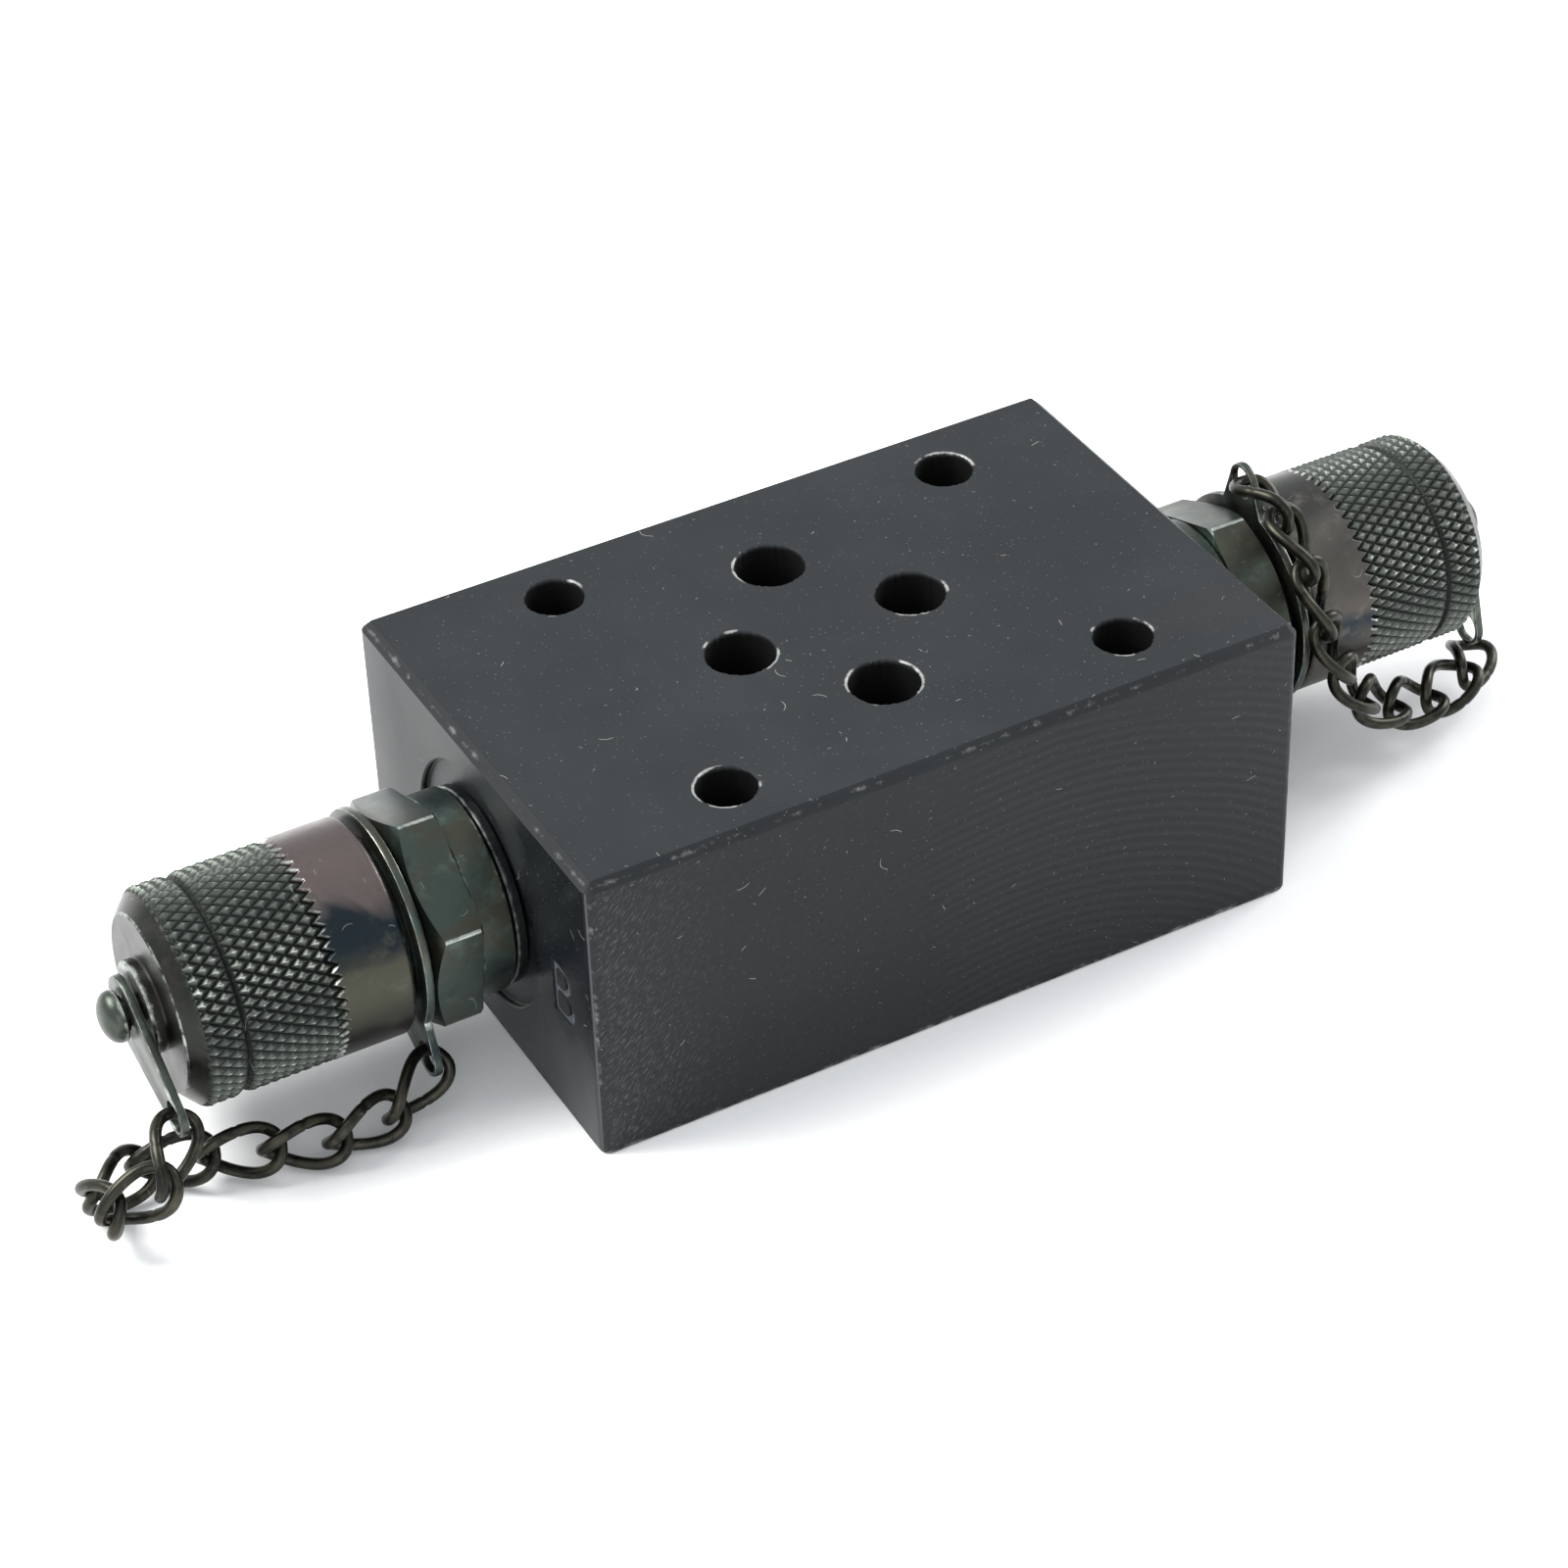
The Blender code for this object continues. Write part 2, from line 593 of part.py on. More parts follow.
clear_scene()
parts = new_collection("valve_sandwich_plate")
cutters = new_collection("cutters")
block_cutters = bpy.data.collections.new("block_cutters")
cutters.children.link(block_cutters)
axes = {}
for side, out in (("left", -1), ("right", 1)):
    seat = bpy.data.objects.new(side + "_port_axis", None)
    parts.objects.link(seat)
    seat.location = (out * BLOCK_LENGTH / 2, 0, AXIS_HEIGHT[side])
    seat.rotation_euler = (0, out * pi / 2, 0)
    axes[side] = seat
bpy.context.view_layer.update()
make_block()
for side, seat in axes.items():
    make_coupling(side, seat)
    make_check_valve(side, seat)
    make_chain_ring(side, seat)
    make_cap(side, seat)
    make_lug(side, seat)
    make_chain(side)
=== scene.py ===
from math import acos, asin, atan2, cos, pi, radians, sin

import bmesh
import bpy
import numpy as np
from mathutils import Matrix, Vector


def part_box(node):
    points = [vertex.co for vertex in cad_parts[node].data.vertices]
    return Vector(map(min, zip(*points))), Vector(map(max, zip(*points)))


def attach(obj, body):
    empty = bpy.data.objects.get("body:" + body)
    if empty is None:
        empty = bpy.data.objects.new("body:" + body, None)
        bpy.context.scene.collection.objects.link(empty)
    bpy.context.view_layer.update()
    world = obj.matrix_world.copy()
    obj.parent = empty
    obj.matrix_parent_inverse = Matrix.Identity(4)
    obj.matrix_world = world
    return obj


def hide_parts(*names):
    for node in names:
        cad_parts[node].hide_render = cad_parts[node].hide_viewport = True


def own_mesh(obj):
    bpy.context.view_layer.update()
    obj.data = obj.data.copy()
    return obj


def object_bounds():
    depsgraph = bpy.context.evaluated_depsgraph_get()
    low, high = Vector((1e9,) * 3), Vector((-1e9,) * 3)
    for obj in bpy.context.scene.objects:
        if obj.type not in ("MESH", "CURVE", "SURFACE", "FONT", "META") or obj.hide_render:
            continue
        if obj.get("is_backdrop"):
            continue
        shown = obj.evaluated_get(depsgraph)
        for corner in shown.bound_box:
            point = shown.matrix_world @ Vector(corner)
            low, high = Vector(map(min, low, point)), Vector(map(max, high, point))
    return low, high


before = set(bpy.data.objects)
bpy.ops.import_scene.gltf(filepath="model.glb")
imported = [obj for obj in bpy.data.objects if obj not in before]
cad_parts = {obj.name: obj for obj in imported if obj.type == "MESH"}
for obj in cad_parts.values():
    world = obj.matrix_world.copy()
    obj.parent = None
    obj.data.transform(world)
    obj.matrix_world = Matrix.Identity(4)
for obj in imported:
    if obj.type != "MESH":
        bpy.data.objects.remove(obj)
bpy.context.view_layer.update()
MM = 0.001
LENGTH, WIDTH, HEIGHT = 71.5, 45.0, 30.0


# The studio: a white sheet on a table, a large soft light over the far left of the plate,
# weaker ones from the near side and the right, and a long lens that looks down on the near
# left corner.


def shader_of(name, metallic, roughness):
    """A new material, its node tree and its shader."""
    made = bpy.data.materials.new(name)
    made.use_nodes = True
    shader = made.node_tree.nodes["Principled BSDF"]
    shader.inputs["Metallic"].default_value = metallic
    shader.inputs["Roughness"].default_value = roughness
    return made, made.node_tree, shader


def add(tree, kind, feeds=(), **settings):
    """A node of this kind: its settings, and what feeds each of its inputs."""
    node = tree.nodes.new("ShaderNode" + kind)
    for name, value in settings.items():
        setattr(node, name, value)
    for place, value in dict(feeds).items():
        if isinstance(value, bpy.types.NodeSocket):
            tree.links.new(value, node.inputs[place])
        else:
            node.inputs[place].default_value = value
    return node


def maths(tree, operation, first, second=0.0):
    return add(tree, "Math", {0: first, 1: second}, operation=operation).outputs[0]


def times(tree, first, *others):
    for other in others:
        first = maths(tree, "MULTIPLY", first, other)
    return first


def plus(tree, first, *others):
    for other in others:
        first = maths(tree, "ADD", first, other)
    return first


def ramp_up(tree, value, low, high):
    """0 at low, 1 at high, smooth between them; high may be the lower of the two."""
    feeds = {"Value": value, "From Min": low, "From Max": high}
    return add(tree, "MapRange", feeds, interpolation_type="SMOOTHSTEP").outputs["Result"]


def mixed(tree, share, first, second):
    """From the first colour to the second; each is a socket or three numbers."""
    first, second = ((*each, 1) if isinstance(each, tuple) else each for each in (first, second))
    feeds = {0: share, 6: first, 7: second}
    return add(tree, "Mix", feeds, data_type="RGBA", clamp_factor=True).outputs[2]


def noise(tree, where, scale, detail=3.0, roughness=0.5, distortion=0.0):
    feeds = {
        "Vector": where, "Scale": scale, "Detail": detail, "Roughness": roughness,
        "Distortion": distortion,
    }
    return add(tree, "TexNoise", feeds).outputs["Fac"]


def bumped(tree, height, distance, strength=1.0):
    feeds = {"Height": height, "Distance": distance, "Strength": strength}
    return add(tree, "Bump", feeds).outputs["Normal"]


def object_place(tree):
    return add(tree, "TexCoord").outputs["Object"]


table = bmesh.new()
bmesh.ops.create_grid(table, x_segments=24, y_segments=24, size=1.6)
for vert in table.verts:
    vert.co.z = -0.05 * MM + 0.5 * max(0, vert.co.y - 0.8) ** 2
table_mesh = bpy.data.meshes.new("table_sheet")
table.to_mesh(table_mesh)
table.free()
table_mesh.shade_smooth()
table_sheet = bpy.data.objects.new("table_sheet", table_mesh)
bpy.context.scene.collection.objects.link(table_sheet)
table_sheet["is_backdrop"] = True
paper, tree, shader = shader_of("white_sheet", 0, 0.9)
fibres = noise(tree, object_place(tree), 900, 4)
tree.links.new(
    mixed(tree, fibres, (0.90, 0.90, 0.90), (0.94, 0.94, 0.94)), shader.inputs["Base Color"]
)
table_mesh.materials.append(paper)

world = bpy.data.worlds.new("studio_air")
world.use_nodes = True
world.node_tree.nodes["Background"].inputs["Color"].default_value = (0.94, 0.97, 1.0, 1)
world.node_tree.nodes["Background"].inputs["Strength"].default_value = 1.0
bpy.context.scene.world = world
for name, at, power, width, tint in (
    ("far_left_softbox", (-0.45, 0.35, 0.75), 13.5, 0.55, (1, 0.99, 0.97)),
    ("near_softbox", (-0.35, -0.75, 0.35), 1.6, 0.5, (0.93, 0.97, 1)),
    ("right_softbox", (0.75, 0.05, 0.45), 5, 0.4, (1, 1, 1)),
):
    light = bpy.data.lights.new(name, "AREA")
    light.energy = power
    light.size = width
    light.color = tint
    lamp = bpy.data.objects.new(name, light)
    lamp.location = at
    aim = Vector((0, 0, HEIGHT / 2 * MM)) - lamp.location
    lamp.rotation_euler = aim.to_track_quat("-Z", "Y").to_euler()
    bpy.context.scene.collection.objects.link(lamp)

lens = bpy.data.cameras.new("long_lens")
lens.sensor_width = 36
lens.lens = 101.35
camera = bpy.data.objects.new("long_lens", lens)
camera.location = Vector((-153.61, -280.70, 261.30)) * MM
turn, rise, roll = radians(-27.924), radians(37.937), radians(-2.055)
back = Vector((sin(turn) * cos(rise), -cos(turn) * cos(rise), sin(rise)))
level = Vector((0, 0, 1)).cross(back).normalized()
upright = back.cross(level)
across = level * cos(roll) + upright * sin(roll)
camera.rotation_euler = Matrix((across, back.cross(across), back)).transposed().to_euler()
bpy.context.scene.collection.objects.link(camera)
bpy.context.scene.camera = camera
bpy.context.scene.view_settings.view_transform = "Standard"


# The valve block: a sawn piece of steel bar, face-milled on every side, drilled and blackened
# in hot oxide, with a broken edge round the top and bright burrs where the drills came through.


def finish_piece(work, name, finish, body, stands_for, sharp=30):
    """A mesh piece that rides on a body in place of CAD nodes."""
    bmesh.ops.remove_doubles(work, verts=work.verts[:], dist=0.001 * MM)
    bmesh.ops.recalc_face_normals(work, faces=work.faces[:])
    mesh = bpy.data.meshes.new(name)
    work.to_mesh(mesh)
    work.free()
    mesh.shade_smooth()
    mesh.set_sharp_from_angle(angle=radians(sharp))
    mesh.materials.append(finish)
    piece = bpy.data.objects.new(name, mesh)
    bpy.context.scene.collection.objects.link(piece)
    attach(piece, body)
    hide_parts(*stands_for)
    return piece


def turned(profile, steps=96, closed=False):
    """A lathe-turned shape about Z from (radius, height) pairs, whose third number is its wear."""
    work = bmesh.new()
    wear = work.verts.layers.float.new("wear")
    line = []
    for radius, height, *worn in profile:
        vert = work.verts.new((radius * MM, 0, height * MM))
        vert[wear] = worn[0] if worn else 0.0
        line.append(vert)
    pairs = list(zip(line, line[1:])) + ([(line[-1], line[0])] if closed else [])
    edges = [work.edges.new(pair) for pair in pairs]
    bmesh.ops.spin(
        work, geom=line + edges, cent=(0, 0, 0), axis=(0, 0, 1), angle=2 * pi, steps=steps,
        use_merge=True,
    )
    bmesh.ops.remove_doubles(work, verts=work.verts[:], dist=0.001 * MM)
    bmesh.ops.recalc_face_normals(work, faces=work.faces[:])
    return work


def carve(work, *cuts):
    """Cuts with, adds or keeps the shared part of other shapes: (bmesh, operation) pairs."""
    helpers = []
    for shape in (work, *(cut for cut, _ in cuts)):
        bmesh.ops.recalc_face_normals(shape, faces=shape.faces[:])
        mesh = bpy.data.meshes.new("blank")
        shape.to_mesh(mesh)
        shape.free()
        helper = bpy.data.objects.new("blank", mesh)
        bpy.context.scene.collection.objects.link(helper)
        helpers.append(helper)
    for helper, (_, operation) in zip(helpers[1:], cuts):
        modifier = helpers[0].modifiers.new("cut", "BOOLEAN")
        modifier.object = helper
        modifier.operation = operation
        modifier.solver = "MANIFOLD"
    graph = bpy.context.evaluated_depsgraph_get()
    carved = bmesh.new()
    carved.from_mesh(helpers[0].evaluated_get(graph).to_mesh())
    bmesh.ops.remove_doubles(carved, verts=carved.verts[:], dist=0.004 * MM)
    bmesh.ops.dissolve_degenerate(carved, dist=0.002 * MM, edges=carved.edges[:])
    for helper in helpers:
        bpy.data.objects.remove(helper, do_unlink=True)
    return carved


def new_group(name, inputs, outputs):
    """An empty shader group: its tree, its input sockets by name, and its output node."""
    group = bpy.data.node_groups.new(name, "ShaderNodeTree")
    for label, kind in inputs:
        group.interface.new_socket(label, in_out="INPUT", socket_type="NodeSocket" + kind)
    for label, kind in outputs:
        group.interface.new_socket(label, in_out="OUTPUT", socket_type="NodeSocket" + kind)
    given = group.nodes.new("NodeGroupInput").outputs
    return group, given, group.nodes.new("NodeGroupOutput").inputs


def use(tree, group, **feeds):
    """Places a group in a material and returns its outputs."""
    node = tree.nodes.new("ShaderNodeGroup")
    node.node_tree = group
    for name, value in feeds.items():
        if isinstance(value, bpy.types.NodeSocket):
            tree.links.new(value, node.inputs[name])
        else:
            node.inputs[name].default_value = value
    return node.outputs


# Lint and scratches: one short bent stroke in each cell of a flat pattern
lint, given, shown = new_group(
    "lint",
    (("Place", "Vector"), ("Cells", "Float"), ("Length", "Float"), ("Width", "Float"),
     ("Share", "Float")),
    (("Mask", "Float"),),
)
feeds = {0: given["Place"], 3: given["Cells"]}
spread = add(lint, "VectorMath", feeds, operation="SCALE").outputs[0]
cell = add(
    lint, "TexVoronoi", {"Vector": spread, "Scale": 1.0}, voronoi_dimensions="2D", feature="F1"
).outputs
away = add(lint, "VectorMath", {0: spread, 1: cell["Position"]}, operation="SUBTRACT").outputs[0]
dice = add(lint, "SeparateColor", {0: cell["Color"]}).outputs
spun = add(
    lint, "VectorRotate", {"Vector": away, "Angle": times(lint, dice[0], 2 * pi)},
    rotation_type="Z_AXIS",
).outputs[0]
stroke = add(lint, "SeparateXYZ", {0: spun}).outputs
curve = times(lint, maths(lint, "SUBTRACT", dice[1], 0.5), 6.0)
bend = times(lint, times(lint, stroke[0], stroke[0]), curve)
off = maths(lint, "ABSOLUTE", maths(lint, "SUBTRACT", stroke[1], bend))
reach = times(lint, given["Length"], plus(lint, dice[1], 0.3))
thin = ramp_up(lint, maths(lint, "DIVIDE", off, given["Width"]), 1.0, 0.3)
short = ramp_up(lint, maths(lint, "DIVIDE", maths(lint, "ABSOLUTE", stroke[0]), reach), 1.0, 0.7)
chosen = maths(lint, "LESS_THAN", dice[2], given["Share"])
lint.links.new(times(lint, thin, short, chosen), shown["Mask"])

# Broken patches, as where oxide has rubbed through
rubbed, given, shown = new_group(
    "rubbed", (("Place", "Vector"), ("Where", "Float"), ("Scale", "Float"), ("Amount", "Float")),
    (("Mask", "Float"),),
)
patch = noise(rubbed, given["Place"], given["Scale"], 6.0, 0.7)
reach = plus(rubbed, times(rubbed, given["Where"], given["Amount"]), patch)
rubbed.links.new(
    times(rubbed, ramp_up(rubbed, reach, 0.85, 1.15), given["Where"]), shown["Mask"]
)

PORTS = ((0, -10.4), (0, 10.4), (-8.75, 0), (8.75, 0))
BOLTS = ((-19, -16.25), (-19, 16.25), (21.5, -15.5), (21.5, 15.5))
PORT_R, BOLT_R, RIM = 3.25, 2.75, 0.14
POCKET_R, POCKET_DEPTH = 6.1, 1.4
CORNER, BRIM, FOOT = 1.0, 0.85, 0.25
LETTER_Y, LETTER_Z, LETTER_SIZE, LETTER_DEPTH = -16.2, 13.8, 8.5, 0.25
AXIS = {"left": (-1, 15.0), "right": (1, 15.9)}

SEATS = {
    side: Matrix.Translation((out * LENGTH / 2 * MM, 0, height * MM))
    @ Matrix.Rotation(out * pi / 2, 4, "Y")
    for side, (out, height) in AXIS.items()
}

bar = bmesh.new()
bmesh.ops.create_cube(
    bar, size=1,
    matrix=Matrix.Translation((0, 0, HEIGHT / 2 * MM))
    @ Matrix.Diagonal((LENGTH * MM, WIDTH * MM, HEIGHT * MM, 1)),
)
corners = [edge for edge in bar.edges if abs(edge.verts[0].co.z - edge.verts[1].co.z) > MM]
bmesh.ops.bevel(
    bar, geom=corners, offset=CORNER * MM, affect="EDGES", segments=4, profile=0.5, material=-1
)
brim = [edge for edge in bar.edges if min(vert.co.z for vert in edge.verts) > (HEIGHT - 1) * MM]
bmesh.ops.bevel(
    bar, geom=brim, offset=BRIM * MM, affect="EDGES", segments=1, profile=0.5, material=-1
)
foot = [edge for edge in bar.edges if max(vert.co.z for vert in edge.verts) < 0.1 * MM]
bmesh.ops.bevel(
    bar, geom=foot, offset=FOOT * MM, affect="EDGES", segments=2, profile=0.5, material=-1
)
# Every drill starts where four faces meet, so that no face closes round a hole
centres = [{at[axis] for at in PORTS + BOLTS} for axis in (0, 1)]
centres.append({height for _, height in AXIS.values()} | {LETTER_Z})
for axis, places in enumerate(centres):
    for place in sorted(places):
        plane = [0.0, 0.0, 0.0], [0.0, 0.0, 0.0]
        plane[0][axis], plane[1][axis] = place * MM, 1.0
        bmesh.ops.bisect_plane(
            bar, geom=bar.verts[:] + bar.edges[:] + bar.faces[:], plane_co=plane[0],
            plane_no=plane[1], dist=0.0001 * MM,
        )
cuts = []
for (x, y), radius in [(at, PORT_R) for at in PORTS] + [(at, BOLT_R) for at in BOLTS]:
    low = POCKET_DEPTH if radius == PORT_R else 0.0
    mouth = POCKET_R + 0.3
    pocket = [(POCKET_R, low + 0.1), (POCKET_R, 0.15), (mouth, -0.15), (mouth, -1)]
    foot_shape = [(POCKET_R - 0.1, low), *pocket] if low else [(radius + 1.25, -1)]
    drill = turned(
        (
            (0, HEIGHT + 1), (radius + RIM + 1, HEIGHT + 1), (radius + 0.04, HEIGHT - RIM + 0.04),
            (radius, HEIGHT - RIM - 0.05), (radius, low + 0.25), (radius + 0.25, low), *foot_shape,
            (0, -1),
        ),
        64,
    )
    for vert in drill.verts:
        # The burr that the drill leaves is ragged
        if HEIGHT - 0.3 < vert.co.z / MM < HEIGHT:
            round_by = atan2(vert.co.y, vert.co.x)
            ragged = abs(
                sin(11 * round_by + x) * sin(17 * round_by + y) * sin(29 * round_by + x + y)
            )
            vert.co.xy *= 1 - 0.05 * ragged
    bmesh.ops.translate(drill, verts=drill.verts[:], vec=(x * MM, y * MM, 0))
    cuts.append((drill, "DIFFERENCE"))
for side, (out, height) in AXIS.items():
    spot = turned(
        (
            (0, 3), (11.75, 3), (11.75, 0), (11.6, -0.15), (11.6, -0.55), (11.5, -0.6), (7.4, -0.6),
            (6.65, -1.3), (6.65, -13), (3.0, -15.1), (3.0, -27), (0, -27.5),
        ),
        96,
    )
    bmesh.ops.transform(spot, matrix=SEATS[side], verts=spot.verts[:])
    cuts.append((spot, "DIFFERENCE"))
    # The punch mark of the port on that end
    mark = bpy.data.curves.new("punch", "FONT")
    mark.body = "B" if side == "left" else "A"
    mark.size = LETTER_SIZE * MM
    mark.extrude = LETTER_DEPTH * MM
    mark.offset = 0.02 * MM
    mark.align_x = mark.align_y = "CENTER"
    punch = bpy.data.objects.new("punch", mark)
    bpy.context.scene.collection.objects.link(punch)
    letter = bmesh.new()
    letter.from_mesh(punch.evaluated_get(bpy.context.evaluated_depsgraph_get()).to_mesh())
    bpy.data.objects.remove(punch, do_unlink=True)
    bmesh.ops.remove_doubles(letter, verts=letter.verts[:], dist=0.001 * MM)
    stand = Matrix(((0, 0, out), (out, 0, 0), (0, 1, 0))).to_4x4()
    at = Vector((out * LENGTH / 2, LETTER_Y, LETTER_Z)) * MM
    bmesh.ops.transform(letter, matrix=Matrix.Translation(at) @ stand, verts=letter.verts[:])
    cuts.append((letter, "DIFFERENCE"))

black_oxide, tree, shader = shader_of("black_oxide_block", 0.1, 0.5)
shader.inputs["Specular IOR Level"].default_value = 0.16
where = object_place(tree)
x, y, z = add(tree, "SeparateXYZ", {0: where}).outputs
faces = add(tree, "SeparateXYZ", {0: add(tree, "TexCoord").outputs["Normal"]}).outputs
top, ends, sides = (
    ramp_up(tree, maths(tree, "ABSOLUTE", faces[axis]), 0.75, 0.9) for axis in (2, 0, 1)
)
# Each face's own two directions, for patterns that lie flat on it
not_ends, not_top = (maths(tree, "SUBTRACT", 1.0, facing) for facing in (ends, top))
flat_x = plus(tree, times(tree, x, not_ends), times(tree, y, ends))
flat_y = plus(tree, times(tree, y, top), times(tree, z, not_top))
flat = add(tree, "CombineXYZ", {0: flat_x, 1: flat_y, 2: ends}).outputs[0]
to_x = maths(tree, "SUBTRACT", LENGTH / 2 * MM, maths(tree, "ABSOLUTE", x))
to_y = maths(tree, "SUBTRACT", WIDTH / 2 * MM, maths(tree, "ABSOLUTE", y))
middle = maths(tree, "SUBTRACT", z, HEIGHT / 2 * MM)
to_z = maths(tree, "SUBTRACT", HEIGHT / 2 * MM, maths(tree, "ABSOLUTE", middle))
# The distance from the nearest edge is the middle one of the distances from the faces
nearest = maths(tree, "MINIMUM", to_x, maths(tree, "MINIMUM", to_y, to_z))
farthest = maths(tree, "MAXIMUM", to_x, maths(tree, "MAXIMUM", to_y, to_z))
total = plus(tree, to_x, plus(tree, to_y, to_z))
edge_gap = maths(tree, "SUBTRACT", maths(tree, "SUBTRACT", total, nearest), farthest)
edge = ramp_up(tree, edge_gap, 1.3 * MM, 0.2 * MM)
# Burrs round the holes' rims, and painted shade inside them; both sides of the block are alike
rim_gap = bore_gap = 1.0
level_place = add(tree, "CombineXYZ", {0: x, 1: maths(tree, "ABSOLUTE", y)}).outputs[0]
for (hole_x, hole_y), radius in [(at, PORT_R) for at in PORTS if at[1] >= 0] + [
    (at, BOLT_R) for at in BOLTS if at[1] > 0
]:
    feeds = {0: level_place, 1: (hole_x * MM, hole_y * MM, 0)}
    from_hole = add(tree, "VectorMath", feeds, operation="DISTANCE").outputs["Value"]
    off_rim = maths(tree, "ABSOLUTE", maths(tree, "SUBTRACT", from_hole, (radius + RIM) * MM))
    rim_gap = maths(tree, "MINIMUM", rim_gap, off_rim)
    bore_gap = maths(tree, "MINIMUM", bore_gap, maths(tree, "SUBTRACT", from_hole, radius * MM))
rim = ramp_up(tree, rim_gap, 0.30 * MM, 0.05 * MM)
rim = times(tree, rim, ramp_up(tree, to_z, 0.5 * MM, 0.15 * MM))
rim = times(tree, rim, ramp_up(tree, noise(tree, where, 210, 2), 0.46, 0.60))
# Painted shade on the bores' walls, away from their mouths
bore = ramp_up(tree, bore_gap, 0.10 * MM, 0.02 * MM)
bore = times(tree, bore, ramp_up(tree, to_z, 0.12 * MM, 0.5 * MM))

OXIDE, PALE_OXIDE = (0.0115, 0.0135, 0.0148), (0.017, 0.0195, 0.0212)
BROWN_OXIDE, LOW_END = (0.0175, 0.0165, 0.0178), (0.036, 0.038, 0.041)
PAINTED_SIDE_SHADE, DARK_EDGE = (0.004, 0.005, 0.006), (0.009, 0.010, 0.011)
PAINTED_DARK_REFLECTION, PAINTED_BORE_SHADE = (0.0035, 0.0045, 0.006), (0.0015, 0.0015, 0.0016)
MILLED, SCRATCHED = (0.05, 0.053, 0.056), (0.11, 0.118, 0.122)
PUNCHED, SCUFFED, BARE = (0.12, 0.135, 0.15), (0.20, 0.20, 0.195), (0.36, 0.36, 0.35)
MILL_CENTRE, MILL_PITCH, MILL_FINE = (7 * MM, -28 * MM, 0), 1.05 * MM, 0.36 * MM
tone = noise(tree, where, 55, 4, 0.6)
colour = mixed(tree, ramp_up(tree, tone, 0.3, 0.7), OXIDE, PALE_OXIDE)
stain = noise(tree, where, 24, 3, 0.6, 0.6)
colour = mixed(tree, ramp_up(tree, stain, 0.52, 0.75), colour, BROWN_OXIDE)
# Face-mill rings on the long sides, about a centre below the block
upright_place = add(tree, "CombineXYZ", {0: x, 1: z}).outputs[0]
ring_from = add(
    tree, "VectorMath", {0: upright_place, 1: MILL_CENTRE}, operation="DISTANCE"
).outputs["Value"]
ring_from = plus(tree, ring_from, times(tree, noise(tree, where, 70, 2), 0.8 * MM))
rings, fine = (
    maths(tree, "SINE", times(tree, ring_from, 2 * pi / pitch)) for pitch in (MILL_PITCH, MILL_FINE)
)
patchy = times(tree, sides, ramp_up(tree, noise(tree, where, 45, 3), 0.35, 0.62))
ring_share = times(tree, patchy, ramp_up(tree, x, -24 * MM, 6 * MM))
ring_height = times(tree, plus(tree, rings, times(tree, fine, 0.25)), ring_share)
colour = mixed(tree, times(tree, plus(tree, ring_height, 0.6), 0.13), colour, MILLED)
low_end = times(tree, ends, ramp_up(tree, z, 15 * MM, 3 * MM), 0.75)
colour = mixed(tree, low_end, colour, LOW_END)
# Painted shade: the long sides are darker than the top
colour = mixed(tree, times(tree, sides, 0.28), colour, PAINTED_SIDE_SHADE)
# Slanting rub marks near one end of the long sides
slant = add(tree, "VectorRotate", {"Vector": flat, "Angle": radians(-48)}, rotation_type="Z_AXIS")
slant = add(tree, "Mapping", {"Vector": slant.outputs[0], "Scale": (1100, 6500, 900)}).outputs[0]
rub = ramp_up(tree, noise(tree, slant, 1.0, 2, 0.6), 0.50, 0.74)
corner = ramp_up(tree, plus(tree, x, times(tree, tone, 16 * MM)), -12 * MM, -28 * MM)
rub = times(tree, rub, times(tree, sides, plus(tree, times(tree, corner, 0.60), 0.06)))
colour = mixed(tree, rub, colour, SCRATCHED)
worn = use(tree, rubbed, Place=where, Where=edge, Scale=520.0, Amount=0.42)["Mask"]
colour = mixed(tree, times(tree, edge, 0.5), colour, DARK_EDGE)
colour = mixed(tree, worn, colour, SCUFFED)
# Painted dark reflection on the near upper corner of each end, which is also made glossier
reflection_edge = times(tree, maths(tree, "SUBTRACT", noise(tree, where, 160, 4, 0.6), 0.5), 12 * MM)
reflection_near = ramp_up(tree, plus(tree, y, reflection_edge), -8 * MM, -11 * MM)
reflection_above = ramp_up(tree, plus(tree, z, reflection_edge), 8.5 * MM, 11 * MM)
dark_reflection_mask = times(tree, reflection_near, reflection_above, ends)
colour = mixed(tree, times(tree, dark_reflection_mask, 0.85), colour, PAINTED_DARK_REFLECTION)
# The letter's floor, which lies deeper than the face and less deep than the spot face
sunk = times(
    tree, ramp_up(tree, to_x, 0.05 * MM, 0.2 * MM), ramp_up(tree, to_x, 0.45 * MM, 0.3 * MM), ends
)
colour = mixed(tree, times(tree, sunk, 0.7), colour, PUNCHED)
burr = use(tree, rubbed, Place=where, Where=rim, Scale=1500.0, Amount=0.62)["Mask"]
colour = mixed(tree, burr, colour, BARE)
# Hairs, specks and fine grains that have settled on the block
dust = 0.0
for cells, length, width, share, strength in (
    (240.0, 0.16, 0.011, 0.13, 0.55),
    (620.0, 0.10, 0.028, 0.10, 0.4),
    (1700.0, 0.13, 0.08, 0.15, 0.22),
):
    strokes = use(tree, lint, Place=flat, Cells=cells, Length=length, Width=width, Share=share)
    dust = maths(tree, "MAXIMUM", dust, times(tree, strokes["Mask"], strength))
colour = mixed(tree, dust, colour, BARE)
